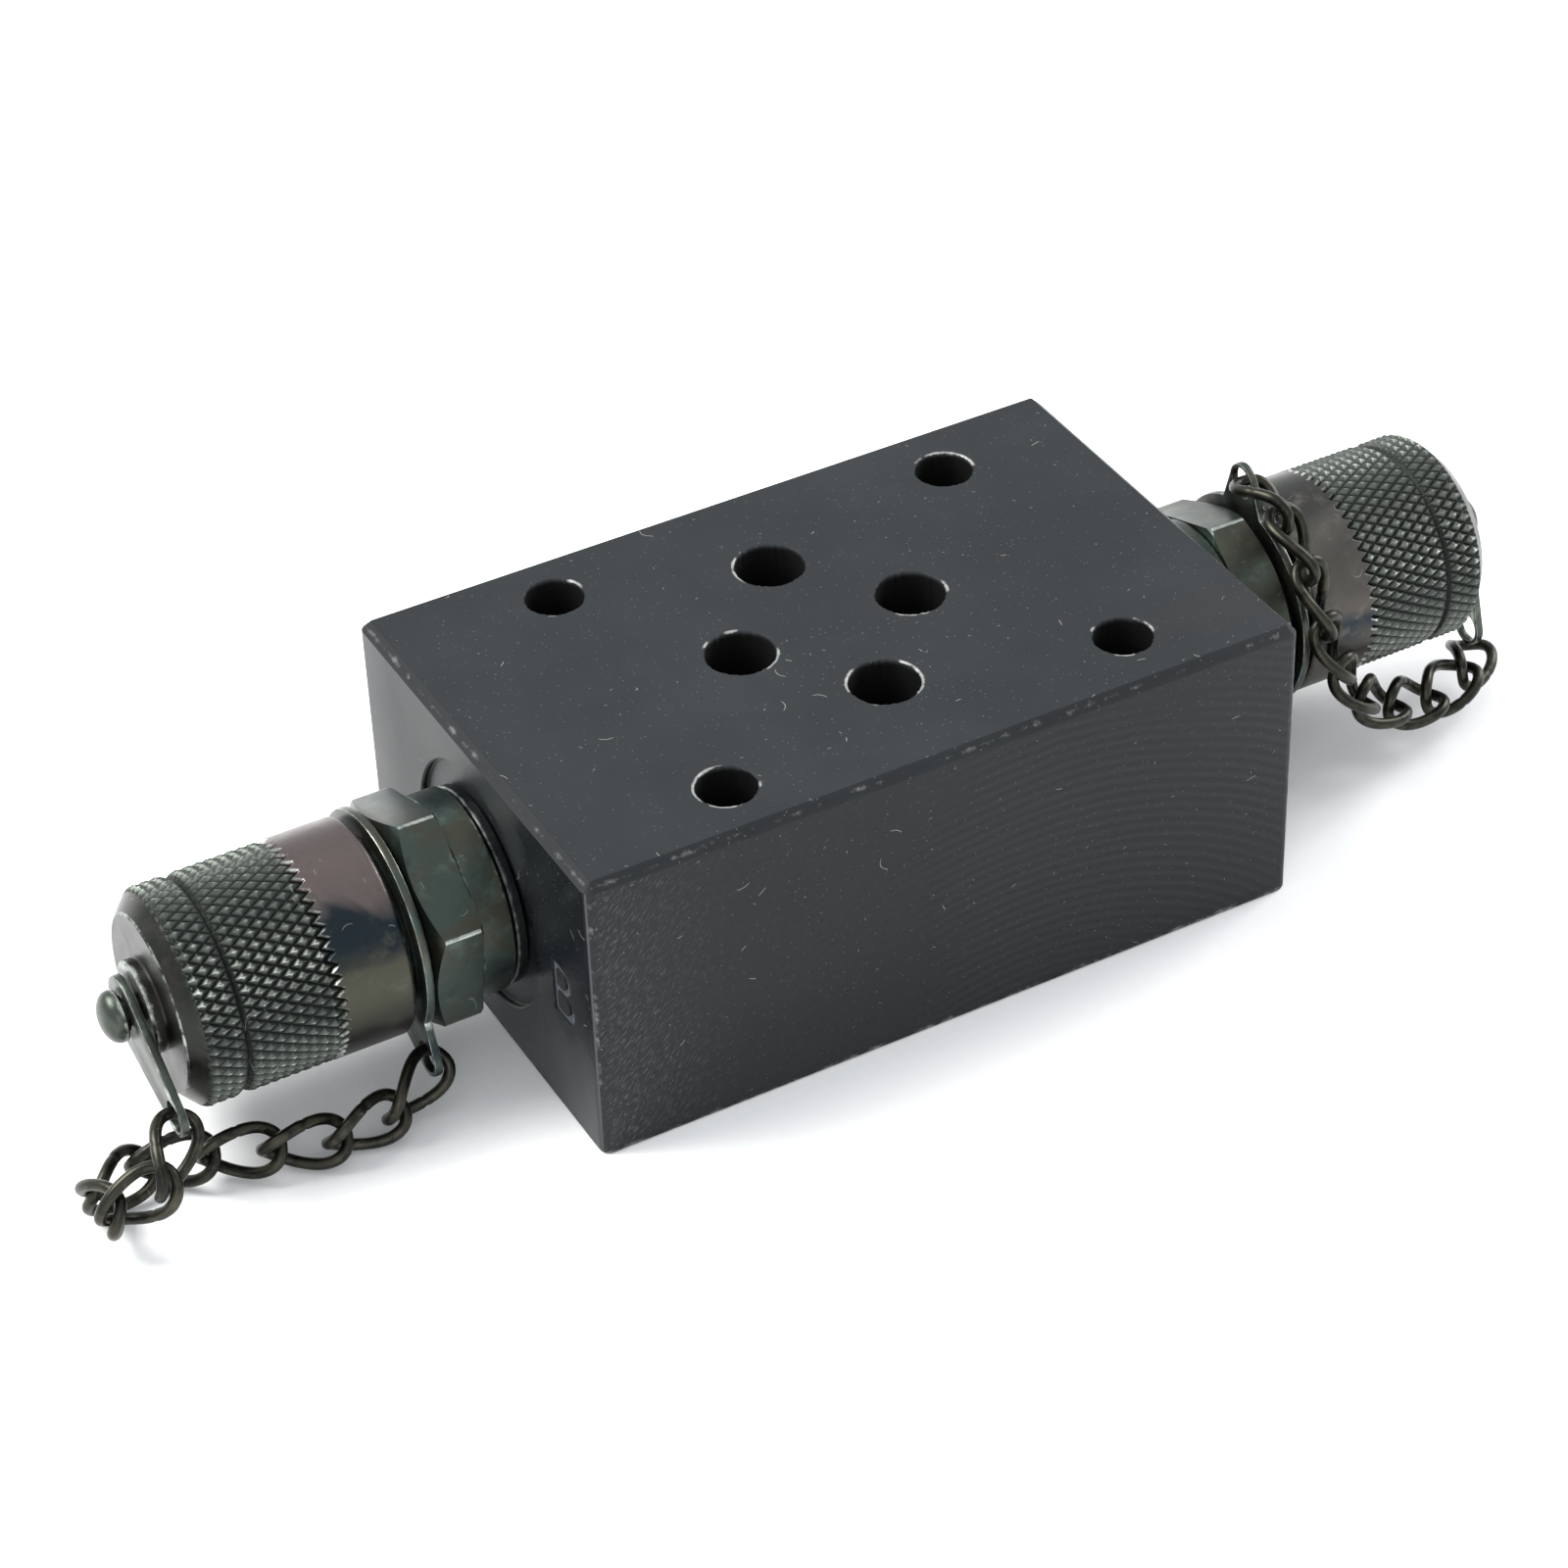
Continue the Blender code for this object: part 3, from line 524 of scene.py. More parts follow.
# Painted shade in the bores
colour = mixed(tree, bore, colour, PAINTED_BORE_SHADE)
tree.links.new(colour, shader.inputs["Base Color"])
gloss = maths(tree, "SUBTRACT", 0.50, times(tree, ends, 0.09))
gloss = maths(tree, "SUBTRACT", gloss, times(tree, dark_reflection_mask, 0.15))
gloss = plus(tree, gloss, times(tree, maths(tree, "SUBTRACT", tone, 0.5), 0.25))
gloss = plus(tree, gloss, times(tree, maths(tree, "MAXIMUM", dust, bore), 0.4))
tree.links.new(gloss, shader.inputs["Roughness"])
tree.links.new(maths(tree, "MAXIMUM", times(tree, burr, 0.9), 0.1), shader.inputs["Metallic"])
grit = noise(tree, where, 2600, 3, 0.6)
relief = plus(tree, times(tree, ring_height, 0.28), times(tree, grit, 0.5))
relief = maths(tree, "SUBTRACT", relief, times(tree, rub, 0.4))
tree.links.new(bumped(tree, relief, 0.02 * MM, 0.7), shader.inputs["Normal"])

finish_piece(
    carve(bar, *cuts), "machined_block", black_oxide, "root", ["valve_block"], 25
)


# Port seals: four moulded nitrile O-rings that sit in the pockets round the ports on the lower
# face and stand a little proud of it, each with the fine parting line of its mould.
nitrile, tree, shader = shader_of("nitrile_rubber", 0, 0.55)
where = object_place(tree)
bloom = noise(tree, where, 600, 4, 0.6)
tree.links.new(
    mixed(tree, ramp_up(tree, bloom, 0.4, 0.75), (0.012, 0.012, 0.013), (0.035, 0.035, 0.034)),
    shader.inputs["Base Color"],
)
tree.links.new(plus(tree, times(tree, bloom, 0.5), 0.5), shader.inputs["Roughness"])
tree.links.new(bumped(tree, bloom, 0.01 * MM), shader.inputs["Normal"])
SEAL_R, CORD_R, PARTING = 4.95, 0.62, 0.04
for port in "ptba":
    low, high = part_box("port_seal_" + port)
    centre = (low + high) / 2
    section = [
        (
            SEAL_R + (CORD_R + (PARTING if i in (0, 8) else 0)) * cos(pi * i / 8),
            CORD_R * sin(pi * i / 8),
        )
        for i in range(16)
    ]
    seal = turned(section, 64, closed=True)
    bmesh.ops.translate(seal, verts=seal.verts[:], vec=centre)
    finish_piece(
        seal, "moulded_port_seal_" + port, nitrile, "root", ["port_seal_" + port], 60
    )


# The test couplings: each body is turned from hexagon bar, its stud screwed into the end port
# against a bonded seal, and its threaded head is pressed into the neck; all of it is chromated.


def chromate(
    name, shift, tint, wear_colour, patch_scale=85.0, corners_at=None, film_and_reflection_at=None, places=None,
    grip=None,
):
    """A chromate film over bright zinc, rubbed away where the piece is worn.

    The tints run from thin film to thick. corners_at and the sweep's height are the height of the
    piece's own axis, for a hexagon's worn corners and for tints that change with height: partly a
    film that thickens with height, partly painted reflection.
    """
    made, tree, shader = shader_of(name, 0.92, 0.3)
    where = object_place(tree)
    moved = add(tree, "Mapping", {"Vector": where, "Location": (shift, shift / 2, 0)}).outputs[0]
    film = noise(tree, moved, patch_scale, 3, 0.55, 0.9)
    if film_and_reflection_at is not None:
        # The tints change with height: partly a film that thickens upwards, partly painted
        # reflection
        height_up = add(tree, "SeparateXYZ", {0: where}).outputs[2]
        rise = maths(tree, "SUBTRACT", height_up, film_and_reflection_at * MM)
        film = plus(tree, times(tree, maths(tree, "SUBTRACT", film, 0.5), 0.14), 0.5)
        film = plus(tree, film, times(tree, rise, 0.2 / (10 * MM)))
    bands = add(tree, "ValToRGB", {0: film})
    stops = bands.color_ramp.elements
    places = places or [0.30 + 0.40 * number / (len(tint) - 1) for number in range(len(tint))]
    stops[0].position, stops[1].position = places[0], places[-1]
    stops[0].color, stops[1].color = (*tint[0], 1), (*tint[-1], 1)
    for place, shade in zip(places[1:-1], tint[1:-1]):
        stops.new(place).color = (*shade, 1)
    colour = bands.outputs["Color"]
    fine_film = noise(tree, where, 420, 4, 0.65)
    colour = mixed(
        tree, ramp_up(tree, fine_film, 0.5, 0.8), colour, tuple(1.7 * part for part in tint[1])
    )
    if grip is not None:
        # The knurl is greyer than the sleeve, and the bevelled end darker
        zone = times(tree, add(tree, "Attribute", attribute_name="zone").outputs["Fac"], 2.0)
        colour = mixed(tree, zone, colour, grip)
        end_tint = mixed(
            tree, ramp_up(tree, fine_film, 0.4, 0.7), (0.021, 0.023, 0.020), (0.036, 0.032, 0.029)
        )
        colour = mixed(tree, maths(tree, "SUBTRACT", zone, 1.0), colour, end_tint)
    wear = add(tree, "Attribute", attribute_name="wear").outputs["Fac"]
    if corners_at is not None:
        # The hexagon's corners, by their distance from the coupling's axis
        from_axis = add(tree, "Mapping", {"Vector": where, "Location": (0, 0, -corners_at * MM)})
        level = add(
            tree, "VectorMath", {0: from_axis.outputs[0], 1: (0, 1, 1)}, operation="MULTIPLY"
        )
        span = add(tree, "VectorMath", {0: level.outputs[0]}, operation="LENGTH").outputs["Value"]
        wear = maths(tree, "MAXIMUM", wear, ramp_up(tree, span, 10.81 * MM, 10.88 * MM))
    # Darker where the piece's hollows are marked: the knurl's furrows, the cap's groove and the
    # step at the hexagon's top
    hollow_darkening = add(tree, "Attribute", attribute_name="hollow_darkening").outputs["Fac"]
    colour = mixed(tree, hollow_darkening, colour, (0.008, 0.010, 0.009))
    bare = use(tree, rubbed, Place=where, Where=wear, Scale=900.0, Amount=0.60)["Mask"]
    colour = mixed(tree, bare, colour, wear_colour)
    scratch_place = add(tree, "Mapping", {"Vector": where, "Scale": (1, 1.4, 1)}).outputs[0]
    nick = use(
        tree, lint, Place=scratch_place, Cells=420.0, Length=0.25, Width=0.03, Share=0.16
    )["Mask"]
    colour = mixed(tree, times(tree, nick, 0.25), colour, wear_colour)
    tree.links.new(colour, shader.inputs["Base Color"])
    gloss = plus(tree, times(tree, fine_film, 0.26), 0.22)
    gloss = plus(tree, gloss, times(tree, hollow_darkening, 0.3))
    tree.links.new(gloss, shader.inputs["Roughness"])
    pits = noise(tree, where, 1800, 3, 0.7)
    tree.links.new(bumped(tree, pits, 0.012 * MM, 0.6), shader.inputs["Normal"])
    return made


OLIVE, NAVY, VIOLET = (0.062, 0.061, 0.046), (0.016, 0.023, 0.029), (0.060, 0.050, 0.053)
PINK, GREEN, STEEL = (0.115, 0.093, 0.090), (0.052, 0.070, 0.062), (0.40, 0.43, 0.40)
coupling_finish = {
    side: chromate(
        side + "_chromated_coupling", 0.0, (NAVY, GREEN, OLIVE, GREEN, NAVY), STEEL, 85.0, height
    )
    for side, (_, height) in AXIS.items()
}
HEX_FLATS, HEX_TURN = 19.0, 39.6


def hexagon(side):
    """The spanner hexagon: a prism with broken corners, its ends turned off at 30 degrees."""
    corner = HEX_FLATS / 2 / cos(pi / 6)
    prism = bmesh.new()
    bmesh.ops.create_cone(
        prism, cap_ends=True, segments=6, radius1=corner * MM, radius2=corner * MM, depth=4.55 * MM,
        matrix=Matrix.Translation((0, 0, 6.475 * MM)),
    )
    long_edges = [edge for edge in prism.edges if abs(edge.verts[0].co.z - edge.verts[1].co.z) > MM]
    bmesh.ops.bevel(
        prism, geom=long_edges, offset=0.22 * MM, affect="EDGES", segments=2, profile=0.5,
        material=-1,
    )
    lean = 90 - HEX_TURN if side == "left" else 90 + HEX_TURN
    stand = Matrix.Rotation(radians(lean - 30), 3, "Z")
    bmesh.ops.rotate(prism, verts=prism.verts[:], cent=(0, 0, 0), matrix=stand)
    nose = turned(
        (
            (0, 9.5), (8.2, 9.5), (9.35, 8.72), (9.6, 8.55), (11.3, 7.6), (11.3, 4.8), (10.3, 3.9),
            (0, 3.9),
        ),
        144,
    )
    return carve(prism, (nose, "INTERSECT"))


THREAD_R, THREAD_DEPTH, THREAD_PITCH, THREAD_FOOT, HEAD_TIP = 7.9, 1.1, 2, 11.6, 25.0


def thread_depth(turn, height):
    """How deep a point of the thread lies below its crest, from 0 to 1."""
    share = ((height - THREAD_PITCH * turn / (2 * pi)) / THREAD_PITCH) % 1
    return min(1.0, max(0.0, 1.15 - abs(2 * share - 1) * 1.3))


for side, (out, height) in AXIS.items():
    low_rows = [11.7 + 0.2 * i for i in range(64)]
    head_shape = [(7.0, HEAD_TIP, 0.6), (7.15, 24.97, 0.8), (7.5, 24.6)]
    head_shape += [(THREAD_R, row) for row in reversed(low_rows)]
    head_shape += [
        (7.6, 11.5), (7.6, 11.0), (7.5, 10.9), (5.6, 10.9), (5.6, 5.5), (4.2, 5.5), (4.2, 12.2),
        (3.0, 13.4), (3.0, 15.0), (4.6, 15.0), (4.6, 19.4), (5.6, 19.4), (5.6, 21.2), (4.6, 21.2),
        (4.6, 24.6), (4.75, 24.9), (4.95, HEAD_TIP),
    ]
    head = turned(head_shape, 120, closed=True)
    wear = head.verts.layers.float["wear"]
    for vert in head.verts:
        radius, height_up = vert.co.xy.length, vert.co.z / MM
        if radius > 7.3 * MM and THREAD_FOOT < height_up < 24.95:
            depth = thread_depth(atan2(vert.co.y, vert.co.x), height_up)
            run_in = min(1.0, (height_up - THREAD_FOOT) / 1.2)
            wanted = THREAD_R - THREAD_DEPTH * depth * run_in
            wanted = min(wanted, 7.1 + (HEAD_TIP - height_up) * 1.1)
            vert.co.xy *= wanted * MM / radius
            vert[wear] = 0.7 * (1 - depth)
    bmesh.ops.transform(head, matrix=SEATS[side], verts=head.verts[:])
    finish_piece(
        head, side + "_threaded_head", coupling_finish[side], "root",
        [side + "_coupling_head"], 40,
    )
    blank = turned(
        (
            (0, 10.6), (7.45, 10.6, 0.7), (7.6, 10.45, 0.7), (7.6, 9.0), (7.75, 8.75), (9.0, 8.75),
            (9.0, 4.2), (9.35, 4.2, 0.7), (9.5, 4.05, 0.7), (9.5, 3.85), (9.5, 1.4),
            (9.5, 1.2, 0.5), (9.3, 1.0, 0.5), (6.3, 1.0), (6.3, -11.0), (5.3, -12.0), (0, -12.0),
        ),
        144,
    )
    bore = turned(
        (
            (0, 11), (6.45, 11), (5.9, 10.45), (5.9, 5.2), (4.2, 5.2), (4.2, -11.8), (4.6, -12.2),
            (0, -12.2),
        ),
        96,
    )
    body = carve(blank, (hexagon(side), "UNION"), (bore, "DIFFERENCE"))
    wear = body.verts.layers.float.get("wear") or body.verts.layers.float.new("wear")
    hollow_darkening = body.verts.layers.float.new("hollow_darkening")
    for vert in body.verts:
        radius, up = vert.co.xy.length / MM, vert.co.z / MM
        vert[wear] = 0.7 if 9.3 < radius < 9.55 and (3.95 < up < 4.25 or up < 1.25) else 0.0
        # Darker in the step where the hexagon's top meets the neck
        if radius < 9.1 and 8.6 < up < 8.9:
            vert[hollow_darkening] = 0.4
    bmesh.ops.transform(body, matrix=SEATS[side], verts=body.verts[:])
    finish_piece(
        body, side + "_test_coupling", coupling_finish[side], "root",
        [side + "_coupling_body"], 22,
    )

# Bonded stud seals: a flat steel ring with rubber moulded to its inside, squeezed under the collar
seal_finish = chromate("bonded_seal", 0.02, (NAVY, (0.03, 0.033, 0.034), NAVY), (0.2, 0.21, 0.2))
for side in AXIS:
    ring = turned(
        (
            (9.15, 0.7, 0.8), (9.3, 0.55, 0.8), (9.3, -0.15), (9.15, -0.3), (7.6, -0.3),
            (7.3, -0.1), (6.95, -0.2), (6.9, 0.1), (6.9, 0.4), (6.95, 0.6), (7.3, 0.55), (7.6, 0.7),
        ),
        96,
        closed=True,
    )
    bmesh.ops.transform(ring, matrix=SEATS[side], verts=ring.verts[:])
    finish_piece(
        ring, side + "_bonded_seal", seal_finish, "root", [side + "_stud_seal"]
    )

# The check valve inside each coupling: a spring coiled from hard-drawn wire; the ground poppet,
# the seat ring and the O-ring that seals on a test hose's probe keep their plain shapes.
spring_finish, tree, shader = shader_of("drawn_spring_steel", 1.0, 0.3)
where = object_place(tree)
lengthwise = add(tree, "Mapping", {"Vector": where, "Scale": (0.2, 1, 1)}).outputs[0]
drawn = noise(tree, lengthwise, 1500, 3)
tree.links.new(
    mixed(tree, drawn, (0.30, 0.30, 0.31), (0.52, 0.52, 0.52)), shader.inputs["Base Color"]
)
tree.links.new(plus(tree, times(tree, drawn, 0.3), 0.12), shader.inputs["Roughness"])
tree.links.new(bumped(tree, drawn, 0.005 * MM), shader.inputs["Normal"])
SPRING_R, SPRING_WIRE_R, SPRING_FOOT, SPRING_RISE, SPRING_TURNS = 2.9, 0.35, -1.3, 11.2, 6
for side, (out, height) in AXIS.items():
    coil = bmesh.new()
    wire_end = Matrix.Translation((SPRING_R * MM, 0, SPRING_FOOT * MM))
    hoop = bmesh.ops.create_circle(
        coil, segments=12, radius=SPRING_WIRE_R * MM,
        matrix=wire_end @ Matrix.Rotation(pi / 2, 4, "X"),
    )["verts"]
    steps = SPRING_TURNS * 24
    bmesh.ops.spin(
        coil, geom=hoop + coil.edges[:], cent=(0, 0, 0), axis=(0, 0, 1),
        angle=2 * pi * SPRING_TURNS, steps=steps, dvec=(0, 0, SPRING_RISE / steps * MM),
    )
    bmesh.ops.remove_doubles(coil, verts=coil.verts[:], dist=0.001 * MM)
    bmesh.ops.holes_fill(coil, edges=coil.edges[:], sides=12)
    bmesh.ops.transform(coil, matrix=SEATS[side], verts=coil.verts[:])
    spring = finish_piece(
        coil, side + "_coil_spring", spring_finish, "root",
        [side + "_poppet_spring"], 50,
    )
    # The spring gets its own copy of its mesh; foot is the height of its end that stands on the
    # seat ring
    foot = SPRING_FOOT - SPRING_WIRE_R
    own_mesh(spring)
    for part, finish in (
        ("poppet", spring_finish), ("spring_seat", spring_finish), ("probe_seal", nitrile),
    ):
        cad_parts[f"{side}_{part}"].data.materials.clear()
        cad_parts[f"{side}_{part}"].data.materials.append(finish)


# The chain rings: washers stamped from 0.8 mm strip, loose on each coupling's neck, each with
# a small tail through whose hole the chain's first link passes.
LEFT_RING, RIGHT_RING, LEFT_LUG, RIGHT_LUG = 227, 86, 205, 246
PLATE, CHAIN_HOLE, TAIL_R = 0.8, 1.45, 1.9
RING_R, RING_BORE, RING_UP, RING_TAIL = 10.45, 8.2, 9.7, 12.7


def about_axis(side, degrees):
    """An angle in the YZ plane, from +Y towards +Z, as one about the coupling's own axis."""
    return radians(90 - degrees if side == "left" else 90 + degrees)


def arc(centre, radius, start, end, steps):
    return [
        (centre + radius * cos(start + (end - start) * i / steps),
         radius * sin(start + (end - start) * i / steps))
        for i in range(steps + 1)
    ]


def circle(centre, radius, points):
    return arc(centre, radius, 0, 2 * pi * (points - 1) / points, points - 1)


def stamped(edge, holes, middle, turn):
    """A plate of the strip's thickness with broken edges: its outline, then its round holes."""
    work = bmesh.new()
    outlines = []
    for outline in (edge, *holes):
        loop = [work.verts.new((px * MM, py * MM, -PLATE / 2 * MM)) for px, py in outline]
        outlines += [work.edges.new(pair) for pair in zip(loop, loop[1:] + loop[:1])]
    bmesh.ops.triangle_fill(work, use_beauty=True, edges=outlines)
    grown = bmesh.ops.extrude_face_region(work, geom=work.faces[:], use_keep_orig=True)
    lifted = [item for item in grown["geom"] if isinstance(item, bmesh.types.BMVert)]
    bmesh.ops.translate(work, verts=lifted, vec=(0, 0, PLATE * MM))
    bmesh.ops.recalc_face_normals(work, faces=work.faces[:])
    rims = [
        rim_edge for rim_edge in work.edges
        if len(rim_edge.link_faces) == 2 and rim_edge.calc_face_angle() > 1.2
    ]
    bmesh.ops.bevel(
        work, geom=rims, offset=0.16 * MM, affect="EDGES", segments=2, profile=0.5, material=-1
    )
    wear = work.verts.layers.float.new("wear")
    for vert in work.verts:
        bends = [e.calc_face_angle(0) for e in vert.link_edges]
        vert[wear] = 1.0 if max(bends) > radians(35) else 0.0
    bmesh.ops.transform(
        work, verts=work.verts[:],
        matrix=Matrix.Translation((0, 0, middle * MM)) @ Matrix.Rotation(turn, 4, "Z"),
    )
    return work


ring_finish = chromate("chromated_chain_ring", 0.05, (NAVY, OLIVE, GREEN, NAVY), STEEL)
for side, degrees in (("left", LEFT_RING), ("right", RIGHT_RING)):
    root = asin(1.6 * TAIL_R / RING_R)
    edge_line = arc(0, RING_R, root, 2 * pi - root, 90)
    edge_line += arc(RING_TAIL, TAIL_R, -radians(80), radians(80), 16)
    holes = circle(0, RING_BORE, 72), circle(RING_TAIL, CHAIN_HOLE + 0.05, 24)
    washer = stamped(edge_line, holes, RING_UP, about_axis(side, degrees))
    bmesh.ops.transform(washer, matrix=SEATS[side], verts=washer.verts[:])
    finish_piece(
        washer, side + "_chain_washer", ring_finish, side + "_tether",
        [side + "_chain_ring"],
    )


# The caps: turned and bored steel, cross-knurled by two rollers for the fingers, grooved near
# the end, bevelled, and chromated after machining so that the knurl's tips rub bright.
CAP_R, GROOVE, BEVEL_FOOT = 10.1, 26.4, 29.72
STARTS, KNURL_LOW, KNURL_DEPTH = 55, 18.15, 0.44


def knurl(turn, up):
    """Height of the knurled surface from 0 in a furrow to 1 on a tip, its wear and its zone."""
    round_by, along = STARTS * turn / (2 * pi), (up - GROOVE) / 2.0
    first, second = round_by + along, round_by - along
    cell_1, cell_2 = np.floor(first), np.floor(second)
    nearest = [
        abs(first - cell_1), abs(cell_1 + 1 - first),
        abs(second - cell_2), abs(cell_2 + 1 - second),
    ]
    if KNURL_LOW < GROOVE + (cell_1 - cell_2):
        tip = min(1.0, 2.25 * min(nearest))
        return tip, min(1.0, max(0.0, (tip - 0.45) / 0.60)), 0.5
    # A smooth cell: only its sides that meet a knurled cell are cut
    neighbours = (
        (cell_1 - 1 - cell_2, 0), (cell_1 + 1 - cell_2, 1), (cell_1 - cell_2 + 1, 2),
        (cell_1 - cell_2 - 1, 3),
    )
    gaps = [nearest[number] for step, number in neighbours if KNURL_LOW < GROOVE + step]
    flank = min(1.0, min(gaps) / 0.20) if gaps else 1.0
    return flank, 0.8 if gaps and 0.1 < min(gaps) < 0.3 else 0.0, 0.0


cap_finish = {
    "left": chromate(
        "chromated_left_cap", 0.31,
        (VIOLET, (0.042, 0.042, 0.033), (0.052, 0.052, 0.038), NAVY, NAVY, PINK, PINK),
        STEEL, 110.0, film_and_reflection_at=AXIS["left"][1],
        places=(0.38, 0.46, 0.575, 0.605, 0.635, 0.66, 0.70), grip=(0.085, 0.095, 0.085),
    ),
    # The right cap's knurl is painted lighter than the left's: painted light, for the stronger
    # light from the right
    "right": chromate(
        "chromated_right_cap", 0.83,
        (
            OLIVE, (0.07, 0.062, 0.055), NAVY, (0.07, 0.064, 0.058), (0.09, 0.083, 0.074),
            (0.045, 0.045, 0.042),
        ),
        STEEL, 110.0, film_and_reflection_at=AXIS["right"][1], places=(0.38, 0.48, 0.53, 0.57, 0.62, 0.68),
        grip=(0.105, 0.115, 0.103),
    ),
}
for side in AXIS:
    outline = [
        (0, 28.3), (1.6, 28.3), (1.6, 32.6), (1.7, 32.7, 0.5), (4.1, 32.7, 0.9), (4.3, 32.5, 0.9),
        (4.3, 31.7), (4.45, 31.5, 0), (5.5, 31.45, 0), (7.9, 31.5, 0.2), (8.12, 31.5, 0.7),
        (8.32, 31.38, 0.8), (8.5, 31.2, 0),
    ]
    rows = [30.9, 30.6, 30.35, 30.2, 30.1, 30.0, 29.9, 29.8, 29.7, 29.6, 29.5]
    rows += [29.4 - 0.25 * i for i in range(51)]
    outline += [(CAP_R, row) for row in rows + [15.5, 14.0, 12.4, 11.5]]
    outline += [
        (CAP_R, 11.25, 0.4), (10.02, 11.05, 0.7), (9.85, 10.9, 0.4), (9.2, 10.9), (8.6, 10.95),
        (8.35, 11.3),
    ]
    outline += [(8.25 if i % 2 else 8.4, 12.0 + 0.5 * i) for i in range(28)]
    outline += [(8.25, 26.4), (8.1, 26.5), (0, 26.5)]
    cap = turned(outline, STARTS * 8)
    wear = cap.verts.layers.float["wear"]
    hollow_darkening, zone = (cap.verts.layers.float.new(name) for name in ("hollow_darkening", "zone"))
    for vert in cap.verts:
        radius, up = vert.co.xy.length / MM, vert.co.z / MM
        vert[zone] = 1.0 if up > 30.1 else 0.0
        if abs(radius - CAP_R) > 0.002 or up < 15.6:
            continue
        level_up, worn, vert[zone] = knurl(atan2(vert.co.y, vert.co.x) % (2 * pi), up)
        wanted = CAP_R - KNURL_DEPTH * (1 - level_up)
        grooved = 9.45 + abs(up - GROOVE) * 1.2
        bevel = CAP_R - max(0.0, up - BEVEL_FOOT) * 1.055
        # Darker in the knurl's furrows, and in the groove
        vert[wear], vert[hollow_darkening] = worn, 0.9 * (1 - level_up) ** 1.8
        if grooved < wanted:
            vert[wear], vert[hollow_darkening] = 0.0, 0.8
        if bevel < wanted:
            vert[wear] = 0.7 if bevel > wanted - 0.12 and up < 30.3 else 0.0
            vert[hollow_darkening], vert[zone] = 0.0, 1.0
        vert.co.xy *= min(wanted, grooved, bevel) / radius
    knurled = [
        face for face in cap.faces
        if all(
            15.6 * MM < vert.co.z < 30.4 * MM and vert.co.xy.length > 9 * MM
            for vert in face.verts
        )
    ]
    bmesh.ops.triangulate(cap, faces=knurled, quad_method="SHORT_EDGE")
    bmesh.ops.transform(cap, matrix=SEATS[side], verts=cap.verts[:])
    finish_piece(
        cap, side + "_knurled_cap", cap_finish[side], side + "_cap",
        [side + "_cap"], 28,
    )


# The rivets and lugs: a domed steel rivet in each cap's boss holds a teardrop strap stamped
# from strip, loose enough to turn, and the chain's last link hangs in the strap's tip.
LUG_R, LUG_BORE, LUG_UP, LUG_TIP = 3.4, 1.6, 33.5, 10.6
bright_finish = chromate(
    "rubbed_zinc", 0.11, ((0.028, 0.033, 0.028), (0.060, 0.069, 0.059), (0.036, 0.042, 0.036)),
    (0.38, 0.40, 0.36),
)
for side, degrees in (("left", LEFT_LUG), ("right", RIGHT_LUG)):
    bends = [pi / 2 * i / 10 for i in range(11)]
    dome = [(2.4 * sin(bend), 34.6 + 1.5 * cos(bend) ** 0.9, 0.35) for bend in bends[:-1]]
    dome += [
        (2.4, 34.5, 0.9), (2.4, 34.35, 0.9), (2.28, 34.2), (1.3, 34.2), (1.3, 28.75), (1.15, 28.6),
        (0, 28.6),
    ]
    rivet = turned(dome, 48)
    bmesh.ops.transform(rivet, matrix=SEATS[side], verts=rivet.verts[:])
    finish_piece(
        rivet, side + "_domed_rivet", bright_finish, side + "_cap",
        [side + "_cap_rivet"],
    )
    lean = acos((LUG_R - TAIL_R) / LUG_TIP)
    strap_line = arc(0, LUG_R, lean, 2 * pi - lean, 40) + arc(LUG_TIP, TAIL_R, -lean, lean, 20)
    holes = circle(0, LUG_BORE, 32), circle(LUG_TIP, CHAIN_HOLE, 24)
    strap = stamped(strap_line, holes, LUG_UP, about_axis(side, degrees))
    bmesh.ops.transform(strap, matrix=SEATS[side], verts=strap.verts[:])
    finish_piece(
        strap, side + "_stamped_lug", bright_finish, side + "_lug",
        [side + "_cap_lug"],
    )


# The chains: nine links each of 1.1 mm wire, every one an oval bent shut and twisted a quarter
# turn so that the chain lies flat; blackened, with the olive of old chromate on the bends.
WIRE_R, LINK_WIDTH, LINK_STEPS, HOOP_R = 0.55, 4.4, 72, 3
chain_finish = chromate(
    "blackened_wire", 0.4,
    ((0.010, 0.011, 0.010), (0.038, 0.036, 0.027), (0.015, 0.016, 0.014), (0.052, 0.048, 0.035)),
    (0.24, 0.24, 0.20), 190.0,
)


def link_line(length):
    """Evenly spaced points round a link's own middle line, and the side each one's plane faces."""
    turns = np.linspace(0, 2 * pi, 1441)
    along = np.abs(np.cos(turns)) ** 0.8 * np.sign(np.cos(turns)) * length / 2
    across_by = np.abs(np.sin(turns)) ** 0.8 * np.sign(np.sin(turns)) * LINK_WIDTH / 2
    twist = -pi / 2 * along / length
    line = np.stack([along, across_by * np.cos(twist), across_by * np.sin(twist)], 1)
    run = np.concatenate([[0], np.cumsum(np.linalg.norm(np.diff(line, axis=0), axis=1))])
    even = np.interp(np.arange(LINK_STEPS) / LINK_STEPS * run[-1], run, np.arange(len(line)))
    picks = np.stack([np.interp(even, np.arange(len(line)), line[:, axis]) for axis in range(3)], 1)
    lean = -pi / 2 * picks[:, 0] / length
    return picks, np.stack([np.zeros_like(lean), -np.sin(lean), np.cos(lean)], 1)


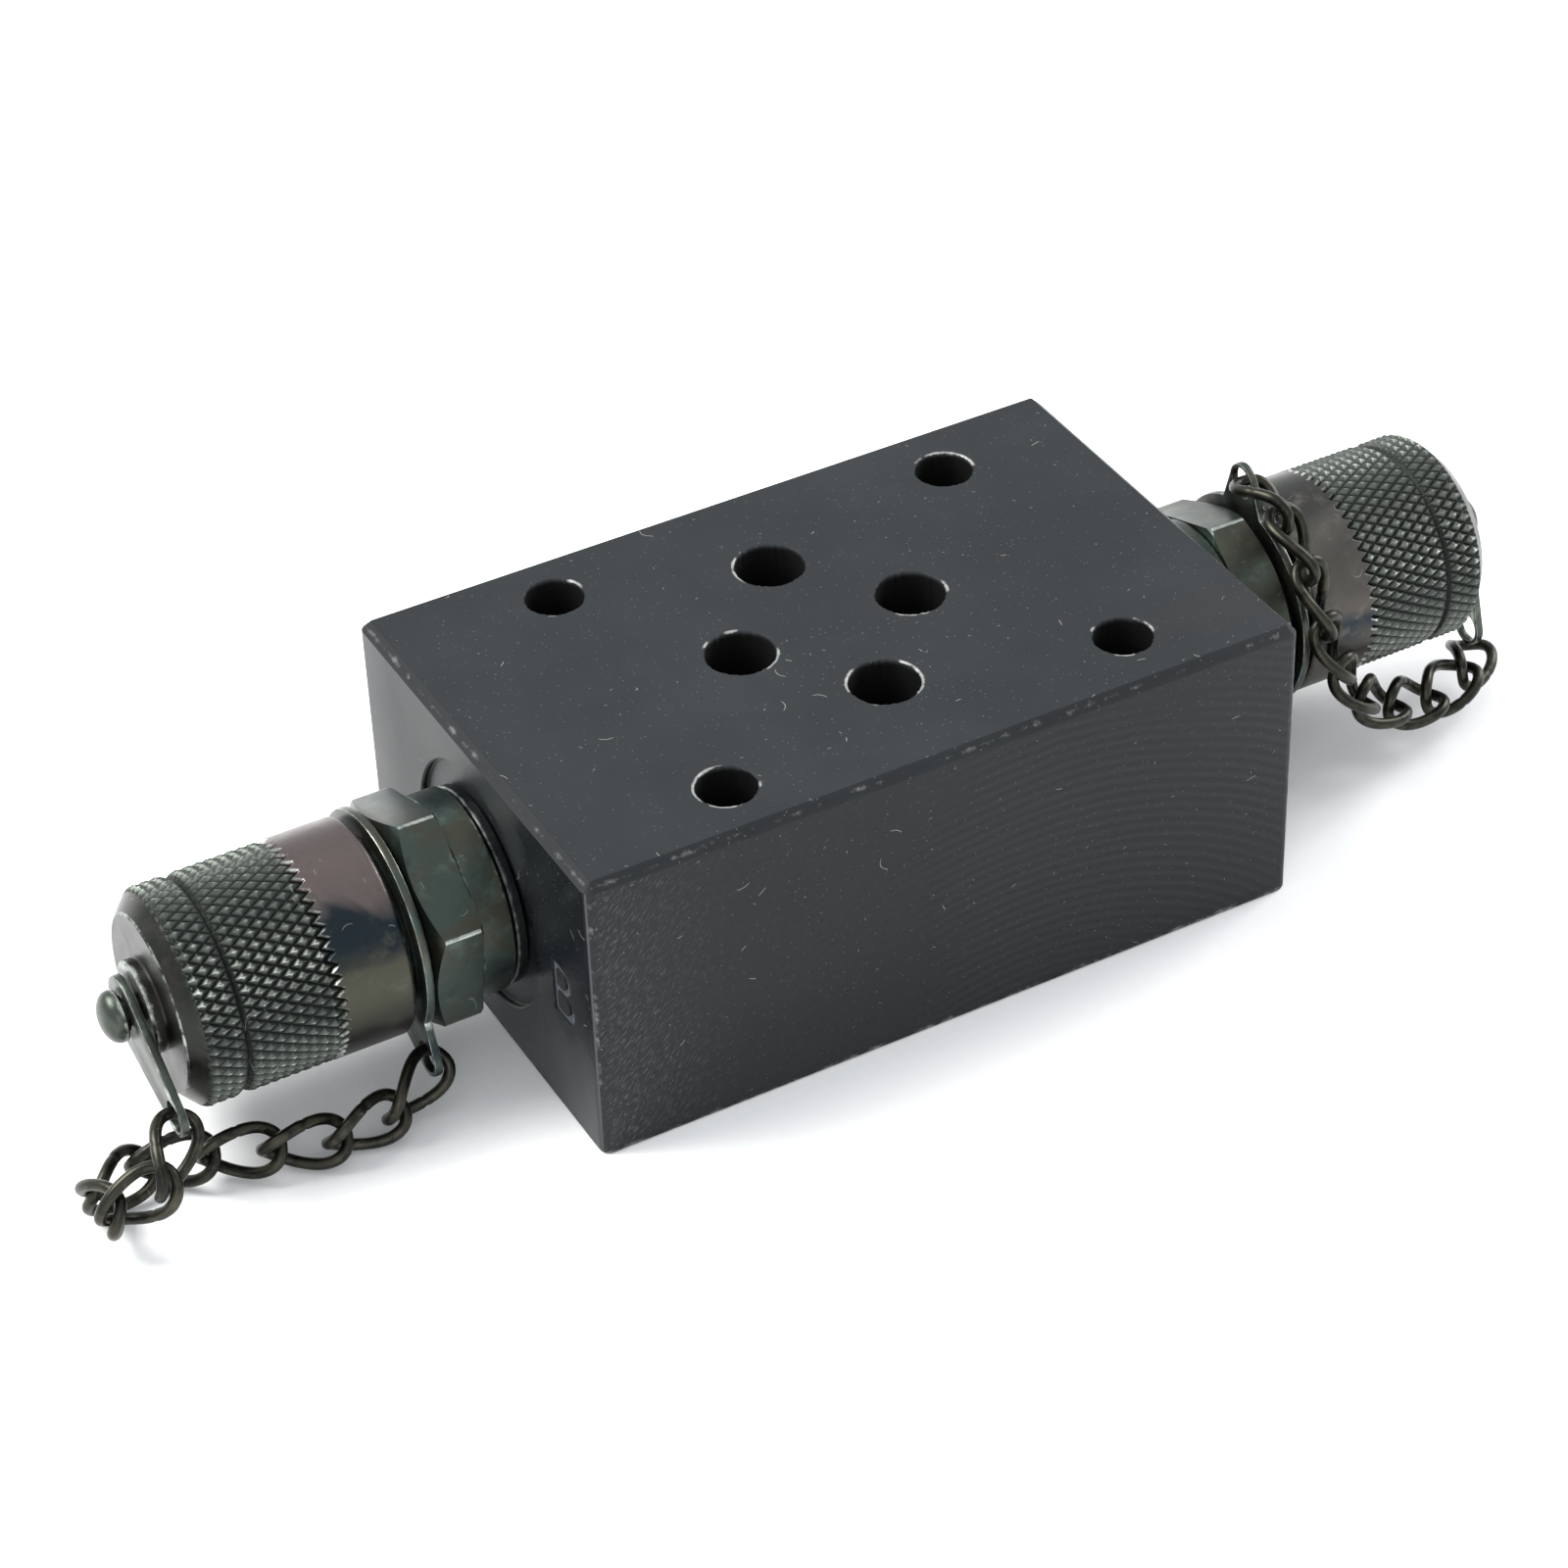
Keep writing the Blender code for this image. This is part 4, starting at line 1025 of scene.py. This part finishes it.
for side in AXIS:
    for number in range(1, 10):
        node = f"{side}_chain_link_{number}"
        points = np.array([vert.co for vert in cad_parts[node].data.vertices]) / MM
        points = np.unique(points.round(4), axis=0)
        centre = points.mean(0)
        ways = np.linalg.eigh(np.cov((points - centre).T))[1]
        long_way, wide_way = ways[:, 2], ways[:, 1]
        length = np.ptp((points - centre) @ long_way) - 2 * WIRE_R
        line, facing = link_line(length)
        line, facing = np.roll(line, 18, axis=0), np.roll(facing, 18, axis=0)
        ahead = np.roll(line, -1, axis=0) - np.roll(line, 1, axis=0)
        ahead /= np.linalg.norm(ahead, axis=1)[:, None]
        outward = np.cross(ahead, facing)
        outward /= np.linalg.norm(outward, axis=1)[:, None]
        facing = np.cross(outward, ahead)
        axes = np.stack([long_way, wide_way, np.cross(long_way, wide_way)], 1)
        wire = bmesh.new()
        hoop = bmesh.ops.create_circle(
            wire, segments=12, radius=WIRE_R * MM,
            matrix=Matrix.Translation((HOOP_R * MM, 0, 0)) @ Matrix.Rotation(pi / 2, 4, "X"),
        )["verts"]
        bmesh.ops.spin(
            wire, geom=hoop + wire.edges[:], cent=(0, 0, 0), axis=(0, 0, 1), angle=2 * pi,
            steps=LINK_STEPS, use_merge=True,
        )
        bmesh.ops.remove_doubles(wire, verts=wire.verts[:], dist=0.001 * MM)
        wear = wire.verts.layers.float.new("wear")
        for vert in wire.verts:
            step = round(atan2(vert.co.y, vert.co.x) / (2 * pi) * LINK_STEPS) % LINK_STEPS
            out_by, up_by = vert.co.xy.length / MM - HOOP_R, vert.co.z / MM
            # The butt joint where the wire's ends meet, on one long side
            pinch = 0.86 if step == 36 else 1.0
            place = line[step] + pinch * (out_by * outward[step] + up_by * facing[step])
            end_wear = abs(line[step][0]) / (length / 2)
            vert[wear] = 0.9 * max(0.0, end_wear - 0.55) if out_by < 0.2 else 0.35
            vert.co = Vector((centre + axes @ place) * MM)
        finish_piece(
            wire, f"{side}_twisted_link_{number}", chain_finish,
            f"{side}_link_{number}", [node], 50,
        )


low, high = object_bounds()
